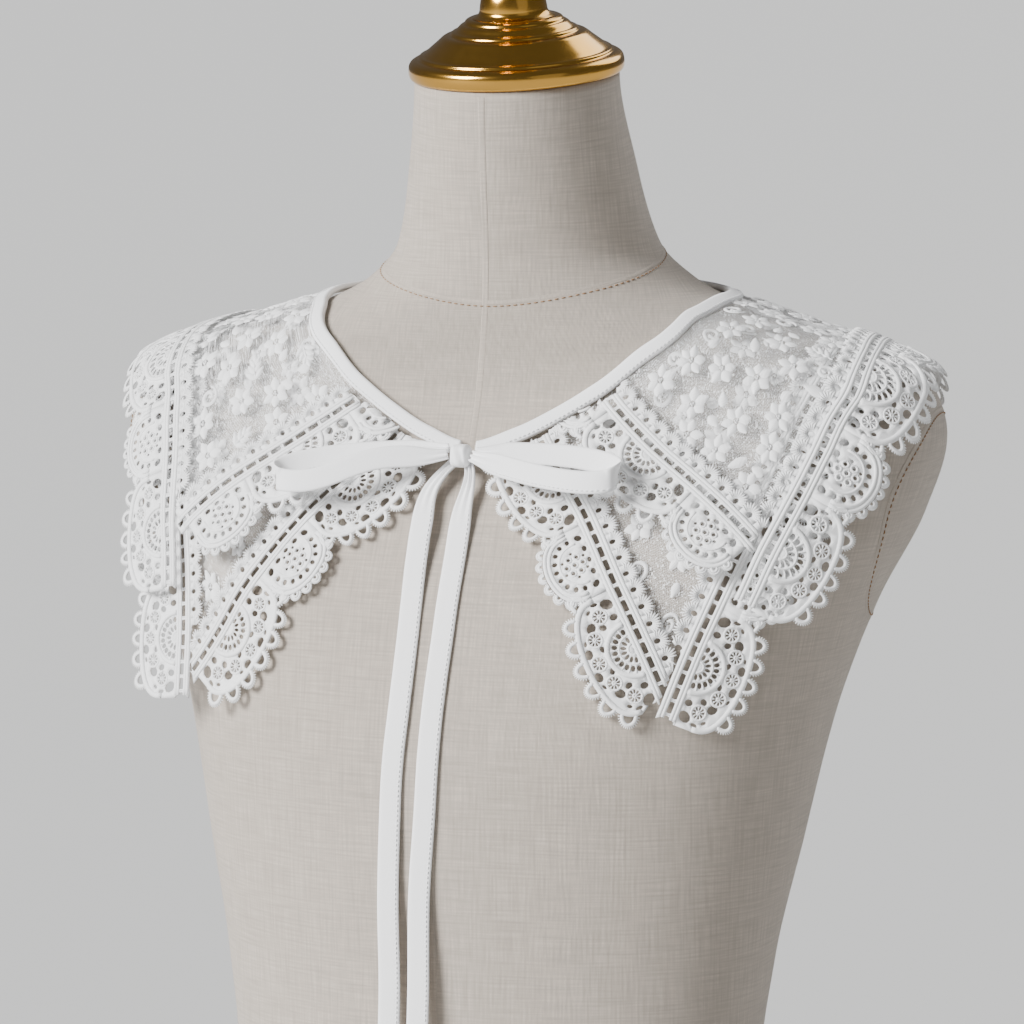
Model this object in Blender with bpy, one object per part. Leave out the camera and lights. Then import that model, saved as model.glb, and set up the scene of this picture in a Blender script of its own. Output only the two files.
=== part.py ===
"""Double-layer lace cape collar, tied with a tape bow, on a linen-covered dress form.

Units are metres, +Z is up and the form's front faces -Y. The origin is the middle of
the form's flat underside.

The collar is worked out in three steps.
1. The form is a stack of sections. Its rounded rings give a drape surface: from the
   neckline the cloth follows the form outward and down, and past the widest place it
   hangs straight. A place on it is an azimuth about the neck (0 at the front, positive
   to the wearer's left) and a drop, the length of cloth below the neckline.
2. Each lace edging is a run across that surface. A run has its own pattern
   coordinates: along the run, and out from its ladder line towards the scallops.
3. Every cloth piece is drawn as a flat outline with its holes, cut into triangles,
   laid on the drape surface and given a thickness.
"""

import math
from collections import namedtuple

import bmesh
import bpy
import numpy as np
from mathutils import Vector
from mathutils.geometry import delaunay_2d_cdt

# Dress form: half sizes of each level section, and how far its centre lies behind the
# neck's axis, which is at the neck's top.
# A squareness of 2 is an ellipse, and more is boxier.
Section = namedtuple("Section", "height half_width depth centre squareness")
FORM_SECTIONS = (
    Section(0.000, 0.1540, 0.1010, -0.0110, 2.2),
    Section(0.055, 0.1460, 0.0955, -0.0175, 2.2),
    Section(0.110, 0.1340, 0.0880, -0.0280, 2.2),
    Section(0.165, 0.1400, 0.0930, -0.0250, 2.2),
    Section(0.225, 0.1520, 0.1035, -0.0175, 2.2),
    Section(0.285, 0.1640, 0.1105, -0.0085, 2.3),
    Section(0.340, 0.1810, 0.1075, 0.0025, 2.6),
    Section(0.385, 0.2020, 0.0980, 0.0140, 2.8),
    Section(0.420, 0.2110, 0.0880, 0.0230, 2.8),
    Section(0.443, 0.2050, 0.0820, 0.0270, 2.6),
    Section(0.458, 0.1800, 0.0785, 0.0275, 2.4),
    Section(0.471, 0.1430, 0.0750, 0.0270, 2.3),
    Section(0.483, 0.1090, 0.0720, 0.0260, 2.2),
    Section(0.496, 0.0830, 0.0685, 0.0235, 2.1),
    Section(0.514, 0.0660, 0.0630, 0.0180, 2.0),
    Section(0.550, 0.0570, 0.0570, 0.0090, 2.0),
    Section(0.598, 0.0508, 0.0508, 0.0000, 2.0),
)
FORM_SIDES = 36
FORM_RINGS = 23

# The neck's top and its cap lean forward by this angle, which sets in above a height.
NECK_TILT = math.radians(9)
TILT_START = 0.510

# Neckline: height of the band's lower edge on the form, by azimuth in degrees.
NecklinePoint = namedtuple("NecklinePoint", "azimuth height")
NECKLINE = (
    NecklinePoint(0, 0.4130),
    NecklinePoint(20, 0.4200),
    NecklinePoint(36, 0.4300),
    NecklinePoint(50, 0.4430),
    NecklinePoint(64, 0.4625),
    NecklinePoint(80, 0.4785),
    NecklinePoint(100, 0.4840),
    NecklinePoint(140, 0.4850),
    NecklinePoint(180, 0.4830),
)
BAND_WIDTH = 0.008

# How far the stiff lace stands off: metres outwards for each metre that it hangs, by
# azimuth in degrees.
StandOff = namedtuple("StandOff", "azimuth slope")
STAND_OFF = (
    StandOff(-180, 0.00),
    StandOff(-125, 0.04),
    StandOff(-98, 0.26),
    StandOff(-80, 0.38),
    StandOff(-60, 0.24),
    StandOff(-35, 0.06),
    StandOff(0, 0.00),
    StandOff(50, 0.00),
    StandOff(80, 0.10),
    StandOff(95, 0.12),
    StandOff(125, 0.04),
    StandOff(180, 0.00),
)

# Drape surface: grid steps, and how far above and below the neckline it reaches.
GRID_TURN = math.radians(2)
GRID_DROP = 0.002
DROP_ABOVE = 0.044
DROP_BELOW = 0.390
TOP_OF_DRAPE = 0.530
WIDE_ENOUGH = 0.060

# Cloth: thickness, and the gaps to what lies under it and beside it.
CLOTH = 0.0010
LAYER_GAP = 0.0009
SEAM_GAP = 0.0005
FORM_GAP = 0.0008
# The upper layer rises clear of the lower one's edging, and a little more lower down.
RISE_DROP = 0.012
FLARE_DROP = 0.100
FLARE_LIFT = 0.0025

# Cutting plane: metres across for each radian of azimuth, the spacing of the points
# inside a panel, the rows of points along an edging run, and how near an edge they come.
TURN_LENGTH = 0.16
LATTICE = 0.0166
RUN_ROWS = (-0.0065, 0.0000, 0.0100, 0.0200)
ROW_STEP = 0.0155
EDGE_CLEAR = 0.0030
STRIP_STEP = 0.010
CURVE_STEP = math.radians(5)
TURN_LIMIT = math.radians(400)
ABOVE_LIMIT = 0.2

# Lace edging across its width, from the ladder line: inwards to the lashes, and
# outwards to the tips of two kinds of scallop that take turns.
LASH_REACH = 0.013
END_VALLEY = 0.004
PANEL_INSET = 0.0085
PICOT_FLARE = 18
GAP_MARGIN = 0.0015
Scallop = namedtuple("Scallop", "length valley depth picots picot_height")
SCALLOPS = {
    "A": Scallop(0.060, 0.014, 0.0300, 7, 0.0040),
    "B": Scallop(0.036, 0.014, 0.0285, 3, 0.0014),
}
# Gaps in a scallop, placed about its middle: how far along and out, and the radius.
Gap = namedtuple("Gap", "along out radius sides")
GAPS = {
    "A": (
        Gap(-0.0235, 0.0060, 0.0031, 5),
        Gap(0.0235, 0.0060, 0.0031, 5),
        Gap(-0.0195, 0.0160, 0.0025, 4),
        Gap(-0.0078, 0.0245, 0.0025, 4),
        Gap(0.0078, 0.0245, 0.0025, 4),
        Gap(0.0195, 0.0160, 0.0025, 4),
        Gap(-0.0070, 0.0090, 0.0024, 4),
        Gap(0.0070, 0.0090, 0.0024, 4),
    ),
    "B": (
        Gap(-0.0080, 0.0130, 0.0026, 4),
        Gap(0.0080, 0.0130, 0.0026, 4),
    ),
}

# Edging runs: places on the drape in degrees of azimuth and metres of drop. The first
# scallop begins at `begin`, measured along the ladder line.
Run = namedtuple("Run", "name side begin scallops path")
UPPER_RUNS = (
    Run("front_left", -1, -0.026, "BAB", (
        (51.5, 0.000), (58.5, 0.057), (65, 0.116))),
    Run("front_right", 1, -0.026, "BAB", (
        (-47, 0.000), (-53, 0.030), (-58, 0.064), (-63, 0.105))),
    Run("side_left", -1, 0.000, "ABABAB", (
        (61, 0.130), (65.5, 0.114), (73, 0.098), (79.5, 0.088), (92.5, 0.076), (107, 0.072),
        (120, 0.080), (133, 0.106))),
    Run("side_right", 1, 0.000, "ABABAB", (
        (-62.5, 0.140), (-65, 0.120), (-69.5, 0.097), (-77.5, 0.078), (-93, 0.068), (-107, 0.068),
        (-120, 0.078), (-133, 0.106))),
    Run("back", -1, -0.018, "ABABABA", (
        (129, 0.096), (180, 0.096), (231, 0.096))),
)
LOWER_RUNS = (
    Run("front_left", -1, -0.041, "BABA", (
        (29, 0.000), (37.5, 0.042), (42.5, 0.096), (49, 0.155))),
    Run("front_right", 1, -0.031, "BABA", (
        (-30, 0.000), (-42, 0.050), (-48, 0.101), (-57.5, 0.175))),
    Run("side_left", -1, 0.000, "ABABABABB", (
        (48.5, 0.164), (54, 0.136), (60.5, 0.112), (71, 0.084), (77, 0.074), (97, 0.062),
        (117, 0.072), (131, 0.104), (141, 0.146))),
    Run("side_right", 1, 0.000, "ABABABABB", (
        (-57.5, 0.183), (-60, 0.150), (-63.5, 0.121), (-70, 0.090), (-77, 0.074), (-97, 0.062),
        (-117, 0.072), (-131, 0.104), (-141, 0.146))),
    Run("back", -1, -0.018, "ABABA", (
        (139, 0.138), (180, 0.142), (221, 0.138))),
)
RUN_STEP = 0.004
RUN_ACROSS = 0.002
RUN_SPARE = 0.060
RUN_INNER = 0.018
RUN_OUTER = 0.046

# Net panels: where they begin beside the front opening, how far down the sheet reaches
# before its edging clips it, and a drop at the back that is always cloth.
PANEL_START = math.radians(15)
PANEL_DROP = 0.25
PANEL_SEED = 0.03

# Neckband: its ends beside the front opening, and its section as drop and lift. The
# lifts on its front face are counted from the top of the two layers that it binds.
BAND_START = 3.5
BAND_STEPS = 49
BandPoint = namedtuple("BandPoint", "drop lift over_layers")
BAND_SECTION = (
    BandPoint(-BAND_WIDTH, 0.0016, False),
    BandPoint(-0.0010, 0.0014, False),
    BandPoint(-SEAM_GAP, 0.0020, False),
    BandPoint(-SEAM_GAP, 0.0000, True),
    BandPoint(-0.0015, 0.0005, True),
    BandPoint(-BAND_WIDTH + 0.001, 0.0003, True),
    BandPoint(-BAND_WIDTH, -0.0005, True),
)

# Tie: folded tape, tied in a bow at the front.
TAPE_WIDTH = 0.011
TAPE_THICK = 0.0012
KNOT_CENTRE = (-0.0003, -0.0785, 0.4158)
KNOT_HALF = (0.0065, 0.0055, 0.0060)
KNOT_RINGS = 7
KNOT_SIDES = 12
KNOT_ROUNDNESS = 0.75
TAIL_STEPS = 25
TailPoint = namedtuple("TailPoint", "azimuth drop lift")
TAILS = {
    "tail_left": (
        TailPoint(4.2, 0.0095, 0.0072),
        TailPoint(2.0, 0.030, 0.0030),
        TailPoint(1.5, 0.055, 0.0013),
        TailPoint(1.0, 0.084, 0.0012),
        TailPoint(0.0, 0.122, 0.0012),
        TailPoint(-1.0, 0.169, 0.0014),
        TailPoint(-2.5, 0.217, 0.0020),
        TailPoint(-2.5, 0.262, 0.0030),
        TailPoint(-3.0, 0.306, 0.0040),
    ),
    "tail_right": (
        TailPoint(-5.5, 0.0105, 0.0068),
        TailPoint(-10.5, 0.022, 0.0054),
        TailPoint(-10.5, 0.042, 0.0048),
        TailPoint(-10.0, 0.056, 0.0030),
        TailPoint(-9.0, 0.078, 0.0012),
        TailPoint(-8.5, 0.125, 0.0012),
        TailPoint(-9.5, 0.172, 0.0014),
        TailPoint(-10.0, 0.221, 0.0020),
        TailPoint(-9.5, 0.268, 0.0030),
        TailPoint(-10.0, 0.312, 0.0040),
    ),
}
Loop = namedtuple("Loop", "root tip opening shear")
LOOPS = {
    "bow_left": Loop((0.0052, -0.0788, 0.4175), (0.0800, -0.0930, 0.4110), 0.0085, 0.9),
    "bow_right": Loop((-0.0054, -0.0790, 0.4186), (-0.0980, -0.0930, 0.4045), 0.0080, 0.9),
}
LOOP_FRONT = (0.0, -1.0, 0.25)
LOOP_TURN = 0.90 * math.pi
LOOP_STEPS = 23
LOOP_TAPER = 0.6
ROOT_GAP = 0.0012

# Neck cap and finial, turned about the neck's axis: radius and height above the neck.
CAP_PROFILE = (
    (0.0525, 0.0004), (0.0535, 0.0020), (0.0535, 0.0080), (0.0515, 0.0105), (0.0475, 0.0125),
    (0.0425, 0.0150), (0.0360, 0.0195), (0.0325, 0.0210), (0.0290, 0.0235),
    (0.0262, 0.0265), (0.0240, 0.0270), (0.0225, 0.0290),
)
FINIAL_PROFILE = (
    (0.0205, 0.0293), (0.0170, 0.0310), (0.0166, 0.0350), (0.0155, 0.0400), (0.0128, 0.0445),
    (0.0108, 0.0470), (0.0112, 0.0485), (0.0092, 0.0500), (0.0108, 0.0520), (0.0092, 0.0540),
    (0.0108, 0.0560), (0.0092, 0.0580), (0.0106, 0.0600), (0.0085, 0.0620), (0.0125, 0.0660),
    (0.0148, 0.0720), (0.0150, 0.0760), (0.0135, 0.0810), (0.0100, 0.0850), (0.0045, 0.0875),
)
CAP_SIDES = 20
FINIAL_SIDES = 12

LINEN = ("linen", (0.62, 0.57, 0.50), 0.9, 0.0)
LACE = ("lace", (0.93, 0.93, 0.92), 0.85, 0.0)
TAPE = ("tape", (0.95, 0.95, 0.95), 0.7, 0.0)
BRASS = ("brass", (0.83, 0.60, 0.25), 0.15, 1.0)


def smooth_curve(places, values, at):
    """Monotone cubic through the given points, so that no section overshoots."""
    places = np.asarray(places, float)
    values = np.asarray(values, float)
    at = np.clip(np.asarray(at, float), places[0], places[-1])
    gaps = np.diff(places)
    slopes = np.diff(values) / gaps
    tangents = np.zeros(len(places))
    for i in range(1, len(places) - 1):
        if slopes[i - 1] * slopes[i] > 0:
            tangents[i] = 2 * slopes[i - 1] * slopes[i] / (slopes[i - 1] + slopes[i])
    i = np.clip(np.searchsorted(places, at) - 1, 0, len(gaps) - 1)
    t = (at - places[i]) / gaps[i]
    return (values[i] * (1 + 2 * t) * (1 - t) ** 2 + tangents[i] * gaps[i] * t * (1 - t) ** 2
            + values[i + 1] * t * t * (3 - 2 * t) + tangents[i + 1] * gaps[i] * t * t * (t - 1))


def form_section(height):
    """The form's section at a height, between the rows of FORM_SECTIONS."""
    heights = [row.height for row in FORM_SECTIONS]
    fields = [smooth_curve(heights, [getattr(row, name) for row in FORM_SECTIONS], height)
              for name in Section._fields[1:]]
    return Section(height, *[float(value) for value in fields])


def form_radius(height, azimuths):
    """Distance from the neck's axis to the form at a height, for azimuths in radians."""
    section = form_section(height)
    turn = np.linspace(-math.pi, math.pi, 721)
    power = 2 / section.squareness
    x = section.half_width * np.sign(np.sin(turn)) * np.abs(np.sin(turn)) ** power
    y = section.centre - section.depth * np.sign(np.cos(turn)) * np.abs(np.cos(turn)) ** power
    around = np.unwrap(np.arctan2(x, -y))
    return np.interp(azimuths, around, np.hypot(x, y), period=2 * math.pi)


def neckline_height(azimuths):
    """Height of the neckline at azimuths in radians, the same on both sides."""
    degrees = np.abs(np.degrees((azimuths + math.pi) % (2 * math.pi) - math.pi))
    return smooth_curve([row.azimuth for row in NECKLINE],
                        [row.height for row in NECKLINE], degrees)


def stand_off(azimuths):
    """Slope away from the vertical of cloth that hangs clear, at azimuths in radians."""
    degrees = np.degrees((azimuths + math.pi) % (2 * math.pi) - math.pi)
    return smooth_curve([row.azimuth for row in STAND_OFF],
                        [row.slope for row in STAND_OFF], degrees)


class Drape:
    """The surface the cloth lies on, as a grid over azimuth and drop."""

    def __init__(self):
        self.turns = np.arange(-math.pi, 3 * math.pi + 1e-9, GRID_TURN)
        self.drops = np.arange(-DROP_ABOVE, DROP_BELOW + 1e-9, GRID_DROP)
        heights = np.concatenate([np.arange(TOP_OF_DRAPE, 0.40, -0.0008),
                                  np.arange(0.40, 0, -0.003)])
        radii = np.array([form_radius(height, self.turns) for height in heights])
        slopes = stand_off(self.turns)
        for i in range(1, len(heights)):
            hung = radii[i - 1] + slopes * (heights[i - 1] - heights[i])
            radii[i] = np.maximum(radii[i], np.where(radii[i - 1] > WIDE_ENOUGH, hung, 0))
        necks = neckline_height(self.turns)
        grid = np.zeros((len(self.turns), len(self.drops), 3))
        for i, turn in enumerate(self.turns):
            steps = np.hypot(np.diff(heights), np.diff(radii[:, i]))
            length = np.concatenate([[0], np.cumsum(steps)])
            length -= np.interp(-necks[i], -heights, length)
            radius = np.interp(self.drops, length, radii[:, i])
            height = np.interp(self.drops, length, heights)
            grid[i] = np.stack([radius * math.sin(turn), -radius * math.cos(turn), height], 1)
        self.grid = grid
        across = np.gradient(grid, axis=0)
        down = np.gradient(grid, axis=1)
        normals = np.cross(down, across)
        self.normals = normals / np.linalg.norm(normals, axis=2, keepdims=True)

    def read(self, table, turns, drops):
        """Value of a grid table between its points."""
        i = (np.asarray(turns) - self.turns[0]) / GRID_TURN
        j = (np.asarray(drops) - self.drops[0]) / GRID_DROP
        i = np.clip(i, 0, len(self.turns) - 1.001)
        j = np.clip(j, 0, len(self.drops) - 1.001)
        i0, j0 = i.astype(int), j.astype(int)
        p, q = (i - i0)[..., None], (j - j0)[..., None]
        return ((table[i0, j0] * (1 - p) + table[i0 + 1, j0] * p) * (1 - q)
                + (table[i0, j0 + 1] * (1 - p) + table[i0 + 1, j0 + 1] * p) * q)

    def point(self, turns, drops, lift=0.0):
        """Points on the surface, moved out by a lift."""
        lift = np.asarray(lift)[..., None]
        return self.read(self.grid, turns, drops) + self.read(self.normals, turns, drops) * lift

    def step(self, turns, drops, move):
        """Azimuth and drop after a small move in space, kept on the surface."""
        d_turn, d_drop = math.radians(1.5), 0.003
        across = (self.point(turns + d_turn, drops) - self.point(turns - d_turn, drops)) / (2 * d_turn)
        down = (self.point(turns, drops + d_drop) - self.point(turns, drops - d_drop)) / (2 * d_drop)
        aa, bb, ab = (across ** 2).sum(-1), (down ** 2).sum(-1), (across * down).sum(-1)
        ma, mb = (move * across).sum(-1), (move * down).sum(-1)
        scale = np.maximum(aa * bb - ab * ab, 1e-6)
        return turns + (ma * bb - mb * ab) / scale, drops + (mb * aa - ma * ab) / scale


class RunPattern:
    """Pattern coordinates of one edging run, laid on the drape as a grid."""

    def __init__(self, drape, run):
        self.run = run
        route = np.array([(math.radians(turn), drop) for turn, drop in run.path])
        places = np.concatenate([[0], np.cumsum(self.lengths(drape, route))])
        fine = np.linspace(0, places[-1], 160)
        route = np.stack([smooth_route(places, route[:, k], fine) for k in (0, 1)], 1)
        along = np.concatenate([[0], np.cumsum(self.lengths(drape, route))])
        self.length = along[-1]
        self.along = np.arange(-RUN_SPARE, self.length + RUN_SPARE, RUN_STEP)
        turns = self.extended(along, route[:, 0])
        drops = self.extended(along, route[:, 1])
        middle = int(round(RUN_INNER / RUN_ACROSS))
        outermost = int(round(RUN_OUTER / RUN_ACROSS))
        self.across = np.arange(-middle, outermost + 1) * RUN_ACROSS
        self.grid = np.zeros((len(self.along), len(self.across), 2))
        self.grid[:, middle] = np.stack([turns, drops], 1)
        points = drape.point(turns, drops)
        tangents = np.gradient(points, axis=0)
        tangents /= np.linalg.norm(tangents, axis=1, keepdims=True)
        normals = drape.read(drape.normals, turns, drops)
        outward = np.cross(normals, tangents) * run.side
        self.march(drape, turns, drops, outward, middle, 1)
        self.march(drape, turns, drops, -outward, middle, -1)

    @staticmethod
    def lengths(drape, route):
        points = drape.point(route[:, 0], route[:, 1])
        return np.linalg.norm(np.diff(points, axis=0), axis=1)

    def extended(self, along, values):
        """Values along the run, carried straight on past both of its ends."""
        inside = np.interp(self.along, along, values)
        first = (values[4] - values[0]) / (along[4] - along[0])
        last = (values[-1] - values[-5]) / (along[-1] - along[-5])
        inside += np.minimum(self.along, 0) * first
        return inside + np.maximum(self.along - self.length, 0) * last

    def march(self, drape, turns, drops, direction, column, sign):
        """Carry each place straight out across the surface, one step at a time."""
        while 0 < column + sign + 1 and column + sign < len(self.across):
            column += sign
            direction = direction / np.linalg.norm(direction, axis=1, keepdims=True)
            turns, drops = drape.step(turns, drops, direction * RUN_ACROSS)
            self.grid[:, column] = np.stack([turns, drops], 1)
            normals = drape.read(drape.normals, turns, drops)
            direction = direction - normals * (direction * normals).sum(1, keepdims=True)

    def place(self, along, out):
        """Azimuth and drop of a place given in the run's own coordinates."""
        i = np.clip((np.asarray(along) - self.along[0]) / RUN_STEP, 0, len(self.along) - 1.001)
        j = np.clip((np.asarray(out) - self.across[0]) / RUN_ACROSS, 0, len(self.across) - 1.001)
        i0, j0 = i.astype(int), j.astype(int)
        p, q = (i - i0)[..., None], (j - j0)[..., None]
        return ((self.grid[i0, j0] * (1 - p) + self.grid[i0 + 1, j0] * p) * (1 - q)
                + (self.grid[i0, j0 + 1] * (1 - p) + self.grid[i0 + 1, j0 + 1] * p) * q)


def smooth_route(places, values, at):
    """Smooth curve through a few places, with the mean slope at each."""
    slopes = np.diff(values) / np.diff(places)
    tangents = np.concatenate([[slopes[0]], (slopes[1:] + slopes[:-1]) / 2, [slopes[-1]]])
    i = np.clip(np.searchsorted(places, at) - 1, 0, len(slopes) - 1)
    gaps = np.diff(places)[i]
    t = (at - places[i]) / gaps
    return (values[i] * (1 + 2 * t) * (1 - t) ** 2 + tangents[i] * gaps * t * (1 - t) ** 2
            + values[i + 1] * t * t * (3 - 2 * t) + tangents[i + 1] * gaps * t * t * (t - 1))


def flat(places):
    """Azimuths and drops as lengths in the flat plane where cloth is cut."""
    return np.asarray(places) * (TURN_LENGTH, 1.0)


def inside(points, ring):
    """Which points lie inside a closed ring."""
    result = np.zeros(len(points), bool)
    x, y = points[:, 0], points[:, 1]
    for (x0, y0), (x1, y1) in zip(ring, np.roll(ring, -1, axis=0)):
        if y0 != y1:
            crossing = x0 + (y - y0) * (x1 - x0) / (y1 - y0)
            result ^= ((y0 > y) != (y1 > y)) & (x < crossing)
    return result


def edge_distance(points, rings):
    """Distance from each point to the nearest edge of the rings."""
    best = np.full(len(points), 1.0)
    for ring in rings:
        for start, end in zip(ring, np.roll(ring, -1, axis=0)):
            leg = end - start
            size = max(leg @ leg, 1e-12)
            t = np.clip((points - start) @ leg / size, 0, 1)[:, None]
            best = np.minimum(best, np.linalg.norm(points - start - t * leg, axis=1))
    return best


def even_points(outline):
    """Evenly spaced points over the flat plane, where an outline lies."""
    low, high = np.min(outline, axis=0), np.max(outline, axis=0)
    columns = np.arange(low[0], high[0], LATTICE * math.sqrt(0.75))
    rows = np.arange(low[1], high[1], LATTICE)
    return np.array([(x, y + LATTICE / 2 * (i % 2)) for i, x in enumerate(columns) for y in rows])


def run_points(pattern):
    """Points in rows along an edging run, on the flat plane."""
    alongs = np.arange(-RUN_SPARE / 2, pattern.length + RUN_SPARE / 2, ROW_STEP)
    rows = [pattern.place(alongs + ROW_STEP / 2 * (i % 2), np.full(len(alongs), out))
            for i, out in enumerate(RUN_ROWS)]
    return flat(np.concatenate(rows))


def cut(outline, holes, clips, seed, fill):
    """Triangles of a flat outline, without its holes and what is clipped away."""
    rings = [np.asarray(ring) for ring in (outline, *holes, *clips)]
    fill = fill[inside(fill, rings[0])]
    fill = fill[edge_distance(fill, rings) > EDGE_CLEAR]
    points, edges = [], []
    for ring in rings:
        first = len(points)
        points += [Vector(point) for point in ring]
        edges += [(first + i, first + (i + 1) % len(ring)) for i in range(len(ring))]
    points += [Vector(point) for point in fill]
    cut_points, _, faces = delaunay_2d_cdt(points, edges, [], 0, 2e-5)[:3]
    cut_points = np.array([tuple(point) for point in cut_points])
    faces = np.array([tuple(face) for face in faces])
    centres = cut_points[faces].mean(1)
    keep = inside(centres, rings[0])
    for ring in rings[1:]:
        keep &= ~inside(centres, ring)
    faces = one_piece(faces[keep], cut_points, np.asarray(seed))
    used = np.unique(faces)
    lookup = np.full(len(cut_points), -1)
    lookup[used] = np.arange(len(used))
    return cut_points[used], lookup[faces]


def one_piece(faces, points, seed):
    """The faces joined edge to edge to the one at the seed, without pinched corners."""
    faces = [tuple(face) for face in faces]
    while True:
        owners = {}
        for k, face in enumerate(faces):
            for a, b in zip(face, face[1:] + face[:1]):
                owners.setdefault(frozenset((a, b)), []).append(k)
        centres = points[np.array(faces)].mean(1)
        start = int(np.argmin(np.linalg.norm(centres - seed, axis=1)))
        reached, front = {start}, [start]
        while front:
            face = faces[front.pop()]
            for a, b in zip(face, face[1:] + face[:1]):
                for other in owners[frozenset((a, b))]:
                    if other not in reached:
                        reached.add(other)
                        front.append(other)
        borders = {}
        for edge, users in owners.items():
            users = [k for k in users if k in reached]
            if len(users) == 1:
                for corner in edge:
                    borders.setdefault(corner, []).append(users[0])
        pinched = [users for users in borders.values() if len(users) > 2]
        drop = {users[0] for users in pinched}
        faces = [face for k, face in enumerate(faces) if k in reached and k not in drop]
        if not drop:
            return np.array(faces)


def material(kind):
    name, colour, roughness, metallic = kind
    if name in bpy.data.materials:
        return bpy.data.materials[name]
    made = bpy.data.materials.new(name)
    made.use_nodes = True
    shader = made.node_tree.nodes["Principled BSDF"]
    shader.inputs["Base Color"].default_value = (*colour, 1.0)
    shader.inputs["Roughness"].default_value = roughness
    shader.inputs["Metallic"].default_value = metallic
    return made


def add_solid(name, vertices, faces, kind, smooth=False):
    """A closed mesh object with its faces turned outwards."""
    mesh = bpy.data.meshes.new(name)
    mesh.from_pydata([tuple(map(float, vertex)) for vertex in vertices], [],
                     [tuple(map(int, face)) for face in faces])
    work = bmesh.new()
    work.from_mesh(mesh)
    bmesh.ops.recalc_face_normals(work, faces=work.faces)
    work.to_mesh(mesh)
    work.free()
    if smooth:
        mesh.shade_smooth()
    mesh.materials.append(material(kind))
    made = bpy.data.objects.new(name, mesh)
    bpy.context.scene.collection.objects.link(made)
    return made


def cloth_solid(name, drape, places, faces, lift, kind=LACE):
    """A cut shape laid on the drape and given the cloth's thickness."""
    turns, drops = (places / (TURN_LENGTH, 1.0)).T
    lifts = lift(drops)
    inner = drape.point(turns, drops, lifts)
    outer = drape.point(turns, drops, lifts + CLOTH)
    count = len(places)
    sides = {(a, b) for face in faces for a, b in zip(face, np.roll(face, -1))}
    rim = [(a, b) for a, b in sorted(sides) if (b, a) not in sides]
    under = [tuple(face[::-1]) for face in faces]
    over = [tuple(corner + count for corner in face) for face in faces]
    walls = [(a, b, b + count) for a, b in rim] + [(a, b + count, a + count) for a, b in rim]
    return add_solid(name, np.vstack([inner, outer]), under + over + walls, kind)


def ease(value):
    value = np.clip(value, 0, 1)
    return value * value * (3 - 2 * value)


def lower_lift(drops):
    return FORM_GAP + 0 * drops


def upper_lift(drops):
    """The upper layer clears the lower one's edging, and stands off more lower down."""
    step = CLOTH + LAYER_GAP
    rise = step * ease(drops / RISE_DROP) + FLARE_LIFT * ease(drops / FLARE_DROP)
    return FORM_GAP + step + rise


def scallop_edge(kind, start, first_valley=None):
    """Outer edge of one scallop, picot by picot."""
    shape = SCALLOPS[kind]
    points = []
    for k in range(shape.picots):
        for part, bump in ((0.0, 0.0), (0.28, 1.0), (0.72, 1.0)):
            turn = math.pi * (k + part) / shape.picots
            rise = math.sin(turn) ** 0.75 if turn > 0 else 0.0
            valley = shape.valley
            if first_valley is not None and turn < math.pi / 2:
                valley = first_valley
            out = valley + (shape.depth - valley) * rise
            reach = 1 - math.cos(turn) * (1 + bump * shape.picot_height * PICOT_FLARE)
            points.append((start + shape.length / 2 * reach, out + bump * shape.picot_height * rise))
    return points


def gap_ring(gap, middle):
    """Corners of one gap, in the run's coordinates."""
    turns = [2 * math.pi * k / gap.sides + math.pi / 2 for k in range(gap.sides)]
    return [(middle + gap.along + gap.radius * math.cos(turn), gap.out + gap.radius * math.sin(turn))
            for turn in turns]


def run_shape(run):
    """Outline and gaps of a run, in its own coordinates."""
    outer, gaps = [], []
    start = run.begin
    for kind in run.scallops:
        at_end = run.name.startswith("side") and start == run.begin
        outer += scallop_edge(kind, start, END_VALLEY if at_end else None)
        gaps += [gap_ring(gap, start + SCALLOPS[kind].length / 2) for gap in GAPS[kind]]
        start += SCALLOPS[kind].length
    outer.append((start, SCALLOPS[run.scallops[-1]].valley))
    inner = [(along, -LASH_REACH) for along in np.arange(start, run.begin, -ROW_STEP)]
    return outer + [(start, 0.0)] + inner + [(run.begin, -LASH_REACH), (run.begin, 0.0)], gaps


def strip(pattern, inner, before, after):
    """Ring around a run's band on the flat plane, from an inner line outwards."""
    alongs = np.append(np.arange(-before, pattern.length + after, STRIP_STEP),
                       pattern.length + after)
    along = np.concatenate([alongs, alongs[::-1]])
    out = np.repeat([inner, RUN_OUTER], len(alongs))
    return flat(pattern.place(along, out))


def whole_turn(ring):
    """The ring, carried once around the neck."""
    return ring + (2 * math.pi * TURN_LENGTH, 0.0)


def above_neck():
    """Ring around everything above the neckline."""
    turns = np.arange(TURN_LIMIT, -TURN_LIMIT - 1e-9, -CURVE_STEP)
    line = [(turn, 0.0) for turn in turns]
    return flat([(-TURN_LIMIT, -ABOVE_LIMIT), (TURN_LIMIT, -ABOVE_LIMIT)] + line)


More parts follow.
